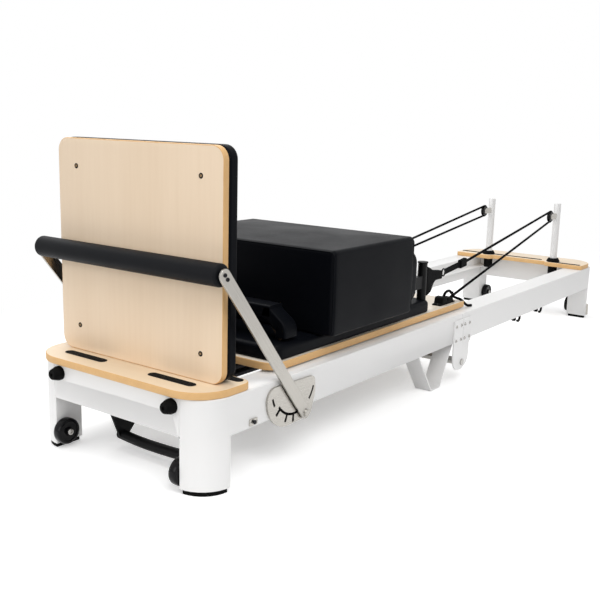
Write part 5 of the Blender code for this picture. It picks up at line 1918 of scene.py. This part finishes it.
@dataclass
class StrapLoop:
    """Webbing loop on a shoulder post, its ring, strap and adjuster.

    The loop narrows from the post to its neck. Each corner of its outline has the place that it
    counts from, how far past that it lies, its height and its radius.
    """

    side: str
    loop_half: float = 0.010
    corners: tuple[tuple[str, float, float, float], ...] = (
        ("post", 0.0, 0.404, 0.006), ("post", 0.026, 0.394, 0.020), ("neck", 0.0, 0.386, 0.020),
        ("end", 0.0, 0.377, 0.004), ("end", 0.0, 0.349, 0.004), ("neck", 0.012, 0.350, 0.030),
        ("post", 0.034, 0.316, 0.018), ("post", 0.0, 0.302, 0.008),
    )
    neck_x: float = 1.150
    end_x: float = 1.216
    strap_half: float = 0.010
    strap_thickness: float = 0.004
    strap_corner: float = 0.0012
    loop_edge: float = 0.004
    ring_radius: float = 0.0118
    ring_wire: float = 0.0026
    ring_from_tip: float = 0.004
    tab: tuple[float, float] = (-0.026, -0.008)
    strap_from: float = 0.016
    strap_before_rope: float = 0.030
    adjuster_before_rope: tuple[float, float] = (0.040, 0.0005)
    adjuster_half: tuple[float, float] = (0.0145, 0.0075)
    adjuster_corner: float = 0.004

    def build(self, shop: Shop) -> None:
        """Builds the loop, ring, strap and adjuster.

        Args:
            shop: the finishes.
        """
        sign = SIDES[self.side]
        tip = loop_tip(sign)
        start = rope_start(self.side, sign)
        length = float(np.linalg.norm(start - tip))
        run = (start - tip) / length
        self.loop(sign * ROPE_Y, shop)
        self.ring(tip + run * self.ring_from_tip, shop)
        wide = self.strap_half
        thin = self.strap_thickness / 2
        strap = rectangle((-wide, -thin), (wide, thin), self.strap_corner, 4)
        self.along_run("ring_tab_", tip, run, *self.tab, strap, shop)
        end = length - self.strap_before_rope
        self.along_run("strap_lead_", tip, run, self.strap_from, end, strap, shop)
        wide, thin = self.adjuster_half
        block = rectangle((-wide, -thin), (wide, thin), self.adjuster_corner, 5)
        back, front = (length - before for before in self.adjuster_before_rope)
        self.along_run("adjuster_", tip, run, back, front, block, shop)

    def loop(self, y: float, shop: Shop) -> None:
        """Flat loop of webbing over the post.

        Args:
            y: its middle across the bed.
            shop: the finishes.
        """
        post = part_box("strap_loop_" + self.side)[0][0]
        marks = {"post": post, "neck": at(self.neck_x), "end": at(self.end_x)}
        corners = [(marks[mark] + past, height, radius) for mark, past, height, radius in self.corners]
        outline = outline_of(corners, 6)
        faces = (y - self.loop_half, y + self.loop_half)
        loop = slab("webbing_loop_" + self.side, outline, *faces, Plane.XZ, self.loop_edge, shop.webbing)
        settle(loop, "carriage", "black_webbing", "strap_loop_" + self.side)

    def ring(self, centre: Array, shop: Shop) -> None:
        """Round ring of wire that joins loop and strap.

        Args:
            centre: its middle.
            shop: the finishes.
        """
        turn = np.linspace(0, 2 * math.pi, 40, endpoint=False)
        path = centre + self.ring_radius * np.stack([np.cos(turn), np.zeros(40), np.sin(turn)], -1)
        rings = looped(path, self.ring_wire, (0, 1, 0))
        ring = skin("strap_ring_" + self.side, rings, [shop.dark], loop_rows=True, sharp=80)
        settle(ring, "carriage", "dark_steel")

    def along_run(self, name: str, tip: Array, run: Array, start: float, end: float, section: Array,
                  shop: Shop) -> None:
        """Straight piece between two distances from the loop's tip.

        Args:
            name: its name without the side.
            tip: tip of the loop.
            run: direction from the tip to the rope.
            start: distance of its start.
            end: distance of its end.
            section: its section.
            shop: the finishes.
        """
        path = tip + run * np.linspace(start, end, 12)[:, None]
        piece = skin(name + self.side, carried(path, section, (0, 1, 0)), [shop.webbing], sharp=40)
        settle(piece, "carriage", "black_webbing")


@dataclass
class SittingBox:
    """Vinyl covered box with piping round its end faces."""

    corner: float = 0.014
    edge: float = 0.013
    crown: float = 0.005
    bulge: float = 0.002
    piping: float = 0.0018
    piping_back: float = 0.0045
    piping_in: float = 0.0040
    piping_below_top: float = 0.0092
    piping_corner: float = 0.016

    def build(self, shop: Shop) -> None:
        """Builds the cover and the piping.

        Args:
            shop: the finishes.
        """
        low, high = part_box("sitting_box")
        box = upholstered("box_cover", low, high, Plane.XY, self.corner, self.edge, self.crown, shop.vinyl,
                          self.bulge)
        settle(box, "sitting_box", "black_vinyl", "sitting_box")
        inside = self.piping_in
        outline = rectangle((low[1] + inside, low[2] + inside),
                            (high[1] - inside, high[2] - self.piping_below_top), self.piping_corner, 12)
        for label, x in (("back", low[0] + self.piping_back), ("front", high[0] - self.piping_back)):
            loop = place_in(Plane.YZ, outline[:, 0], outline[:, 1], np.array(x))
            rings = looped(loop, self.piping, (1, 0, 0))
            seam = skin("box_piping_" + label, rings, [shop.vinyl], loop_rows=True, sharp=80)
            settle(seam, "sitting_box", "black_vinyl")


@dataclass
class HeadEnd:
    """Head platform, risers, collars, pulleys, leg latches, and the hooks and stops below the beams."""

    jog: float = 0.135
    jog_slope: float = 0.012
    set_back: float = 0.022
    front_radius: float = 0.10
    back_radius: float = 0.010
    strip_width: float = 0.017
    strip_radius: float = 0.007
    long_strip_x: float = 0.045
    long_strip_start: float = -0.10
    long_strip_margin: float = 0.006
    short_strip_x: float = 0.010
    short_strip_end: float = -0.142
    short_strip_margin: float = 0.012
    hooks: tuple[float, float] = (1.79, 2.01)
    hook_y: float = 0.288
    hook_drop: float = 0.012
    hook_bend: float = -130.0
    hook_radius: float = 0.013
    hook_wire: float = 0.0044
    stop_back: float = 0.045
    stop: tuple[tuple[float, float], ...] = ((0.009, 0.0), (0.009, 0.013), (0.006, 0.016))
    block_edge: float = 0.0003
    latch_angle: float = -66.0
    latch_out: float = 0.105
    leg_radius: float = 0.1
    latch_heights: tuple[float, ...] = (0.014, 0.030, 0.046, 0.062)
    latch_half: tuple[float, float] = (0.0075, 0.010)
    latch_corner: float = 0.003

    def build(self, shop: Shop) -> None:
        """Builds and dresses the head end.

        Args:
            shop: the finishes.
        """
        settle(smooth_copy("end_beam_head", shop.paint), "head_half", "white_paint")
        settle(smooth_copy("hinge_tube", shop.bolt), "head_half", "dark_steel")
        self.platform(shop)
        for side, sign in SIDES.items():
            settle(smooth_copy("riser_" + side, shop.paint), "riser_" + side, "white_paint")
            settle(smooth_copy("riser_collar_" + side, shop.rubber), "head_half", "black_rubber")
            block = smooth_copy("pulley_block_" + side, shop.steel, self.block_edge)
            settle(block, "pulley_" + side, "stainless_steel")
            settle(smooth_copy("sheave_" + side, shop.gloss), "sheave_" + side, "wheel_plastic")
            self.latch(side, sign, shop)
            for number, x in enumerate(self.hooks, 1):
                self.hook(f"{number}_{side}", at(x), sign, shop)

    def platform(self, shop: Shop) -> None:
        """Ply head platform with its grip strips.

        Args:
            shop: the finishes.
        """
        low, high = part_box("platform_head")
        inner = low[0] + self.set_back
        far_half = [
            (high[0], high[1], self.front_radius), (low[0], high[1], self.back_radius),
            (low[0], self.jog, self.back_radius), (inner, self.jog - self.jog_slope, self.back_radius),
        ]
        corners = far_half + [(x, -y, radius) for x, y, radius in far_half[::-1]]
        deck = slab("head_platform_ply", outline_of(corners, 14), low[2], high[2], Plane.XY, PLATFORM_EDGE,
                    shop.deck_face, shop.deck_edge)
        settle(deck, "head_half", "birch_ply", "platform_head")
        for label, x, start, end in (
            ("long", low[0] + self.long_strip_x, self.long_strip_start, high[1] - self.long_strip_margin),
            ("short", low[0] + self.short_strip_x, low[1] + self.short_strip_margin, self.short_strip_end),
        ):
            grip_strip("head_grip_" + label, (x, start), (x + self.strip_width, end), self.strip_radius, 6,
                       high[2], "head_half", shop)

    def hook(self, tag: str, x: float, sign: int, shop: Shop) -> None:
        """Small open hook below a side beam: a rod bent round a part circle, with a stop beside it.

        Args:
            tag: which hook.
            x: world X of its middle.
            sign: side of the frame.
            shop: the finishes.
        """
        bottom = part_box("end_beam_head")[0][2]
        angle = np.radians(np.linspace(0, self.hook_bend, 24))
        y = sign * self.hook_y
        size = self.hook_radius
        height = bottom - self.hook_drop
        arc = np.stack([x + size * np.cos(angle), np.full(24, y), height + size * np.sin(angle)], -1)
        path = np.vstack([[(x + size, y, bottom)], arc])
        rings = carried(path, circle(self.hook_wire, 10), (0, 1, 0))
        hook = skin("hook_" + tag, rings, [shop.rubber], sharp=70)
        settle(hook, "head_half", "black_rubber")
        profile = [(radius, bottom - drop) for radius, drop in self.stop]
        stub = turned("hook_stop_" + tag, profile, (x - self.stop_back, y, 0), Axis.Z, shop.rubber, 20)
        settle(stub, "head_half", "black_rubber")

    def latch(self, side: str, sign: int, shop: Shop) -> None:
        """Small steel plate on the round corner of a head leg, square to the corner's radius.

        Args:
            side: near or far.
            sign: side of the frame.
            shop: the finishes.
        """
        low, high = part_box("side_frame_head_" + side)
        edge = high[1] if sign > 0 else -low[1]
        angle = math.radians(self.latch_angle) * -sign
        out = np.array([math.cos(angle), math.sin(angle), 0.0])
        corner = np.array([high[0] - self.leg_radius, sign * (edge - self.leg_radius), 0.0])
        foot = corner + out * self.latch_out
        path = np.array([foot + (0, 0, z) for z in self.latch_heights])
        thin, wide = self.latch_half
        section = rectangle((-thin, -wide), (thin, wide), self.latch_corner, 4)
        along = (-math.sin(angle), math.cos(angle), 0)
        plate = skin("leg_latch_" + side, carried(path, section, along), [shop.steel], sharp=40)
        settle(plate, "head_half", "stainless_steel")


class Studio:
    """Floor, lights and the photograph's camera.

    A lamp has its name, its place, the side of its panel and its power in watts.
    """

    lens = 52.248
    place = (at(-1.359), -1.548, 0.859)
    yaw = -0.936
    pitch = -0.202
    roll = 0.026
    shift = (0.00354, -0.00583)
    lamps = (
        ("key", (at(-0.9), -2.4, 3.2), 2.6, 76),
        ("top", (at(1.3), 1.6, 3.4), 3.2, 76),
        ("foot", (at(-3.2), 0.6, 1.6), 2.0, 32),
    )
    aim = (at(0.8), 0, 0.3)
    floor_half = 40.0
    floor_white = 0.93
    floor_roughness = 0.9
    floor_fade = (0.75, 1.7)
    floor_glow = 0.34
    sky = 0.55

    def build(self) -> None:
        """Makes the stage."""
        self.camera()
        self.floor()
        self.world()
        for lamp in self.lamps:
            self.lamp(*lamp)

    def camera(self) -> None:
        """Camera fitted to the photograph: its axes come from yaw, pitch and roll."""
        data = bpy.data.cameras.new("camera")
        data.lens = self.lens
        data.sensor_width = 36
        data.shift_x, data.shift_y = self.shift
        camera = placed("camera", data)
        flat = math.cos(self.pitch)
        forward = Vector((-math.sin(self.yaw) * flat, math.cos(self.yaw) * flat, math.sin(self.pitch)))
        level = forward.cross(Vector((0, 0, 1))).normalized()
        rise = level.cross(forward)
        right = math.cos(self.roll) * level + math.sin(self.roll) * rise
        up = -math.sin(self.roll) * level + math.cos(self.roll) * rise
        turn = Matrix((right, up, -forward)).transposed()
        camera.matrix_world = Matrix.Translation(self.place) @ turn.to_4x4()
        bpy.context.scene.camera = camera

    @staticmethod
    def direct(graph: Graph) -> bpy.types.NodeSocket:
        """One for rays of the camera, of a reflection or of a transmission, else zero.

        Args:
            graph: graph of the material or world.

        Returns:
            The output.
        """
        seen = graph.add("LightPath").outputs
        reflected = graph.math("MAXIMUM", seen["Is Glossy Ray"], seen["Is Transmission Ray"])
        return graph.math("MAXIMUM", seen["Is Camera Ray"], reflected)

    def floor(self) -> None:
        """White floor, which keeps the object's shadow near it and is plain white farther out.

        The share of plain white grows smoothly with the distance from the bed's middle, of which the
        part along the bed counts half.
        """
        data = bpy.data.meshes.new("floor")
        size = self.floor_half
        corners = [(-size, -size, 0), (size, -size, 0), (size, size, 0), (-size, size, 0)]
        data.from_pydata(corners, [], [(0, 1, 2, 3)])
        material = bpy.data.materials.new("studio_floor")
        material.use_nodes = True
        graph = Graph(material.node_tree)
        shader = material.node_tree.nodes["Principled BSDF"]
        place = graph.add("Mapping", Vector=graph.add("TexCoord").outputs["Object"], Scale=(0.5, 1.0, 0.0))
        distance = graph.add("VectorMath", operation="LENGTH", Vector=place.outputs[0])
        near, far = self.floor_fade
        away = graph.add("MapRange", interpolation_type="SMOOTHSTEP", Value=distance.outputs["Value"],
                         From_Min=near, From_Max=far)
        lit = graph.add("MapRange", Value=away.outputs[0], To_Min=self.floor_glow, To_Max=1.0)
        graph.fill(
            shader,
            Base_Color=graph.mix(away.outputs[0], (self.floor_white,) * 3, (0.0, 0.0, 0.0)),
            Roughness=self.floor_roughness,
            Specular_IOR_Level=0.0,
            Emission_Color=(1, 1, 1, 1),
            Emission_Strength=graph.math("MULTIPLY", self.direct(graph), lit.outputs[0]),
        )
        data.materials.append(material)
        placed("floor", data)

    def world(self) -> None:
        """Even studio light, white where the camera or a reflection sees it."""
        world = bpy.data.worlds.new("studio")
        bpy.context.scene.world = world
        world.use_nodes = True
        graph = Graph(world.node_tree)
        extra = graph.math("MULTIPLY", self.direct(graph), 1 - self.sky)
        strength = graph.math("ADD", extra, self.sky)
        graph.fill(world.node_tree.nodes["Background"], Color=(1, 1, 1, 1), Strength=strength)

    def lamp(self, name: str, place: tuple[float, float, float], size: float, power: float) -> None:
        """Square soft light aimed at the middle of the bed.

        Args:
            name: name of the lamp.
            place: where it stands.
            size: side of its panel.
            power: watts.
        """
        data = bpy.data.lights.new(name, "AREA")
        data.shape = "SQUARE"
        data.size = size
        data.energy = power
        lamp = placed(name, data)
        aim = Vector(self.aim) - Vector(place)
        lamp.matrix_world = Matrix.Translation(place) @ aim.to_track_quat("-Z", "Y").to_matrix().to_4x4()


def main() -> None:
    """Builds the stage, the ropes and then every other sub-assembly in order."""
    logging.basicConfig(level=logging.INFO, format="%(message)s")
    bpy.context.scene.view_settings.view_transform = "Standard"
    Studio().build()
    shop = Shop()
    for part in (Ropes(), FrameHalf("foot", "frame"), FrameHalf("head", "head_half"), FootEnd(), FootBar(),
                 JumpBoard(), Carriage(), StrapLoop("near"), StrapLoop("far"), SittingBox(), HeadEnd()):
        LOG.info("building %s", type(part).__name__)
        part.build(shop)


if __name__ == "__main__":
    main()
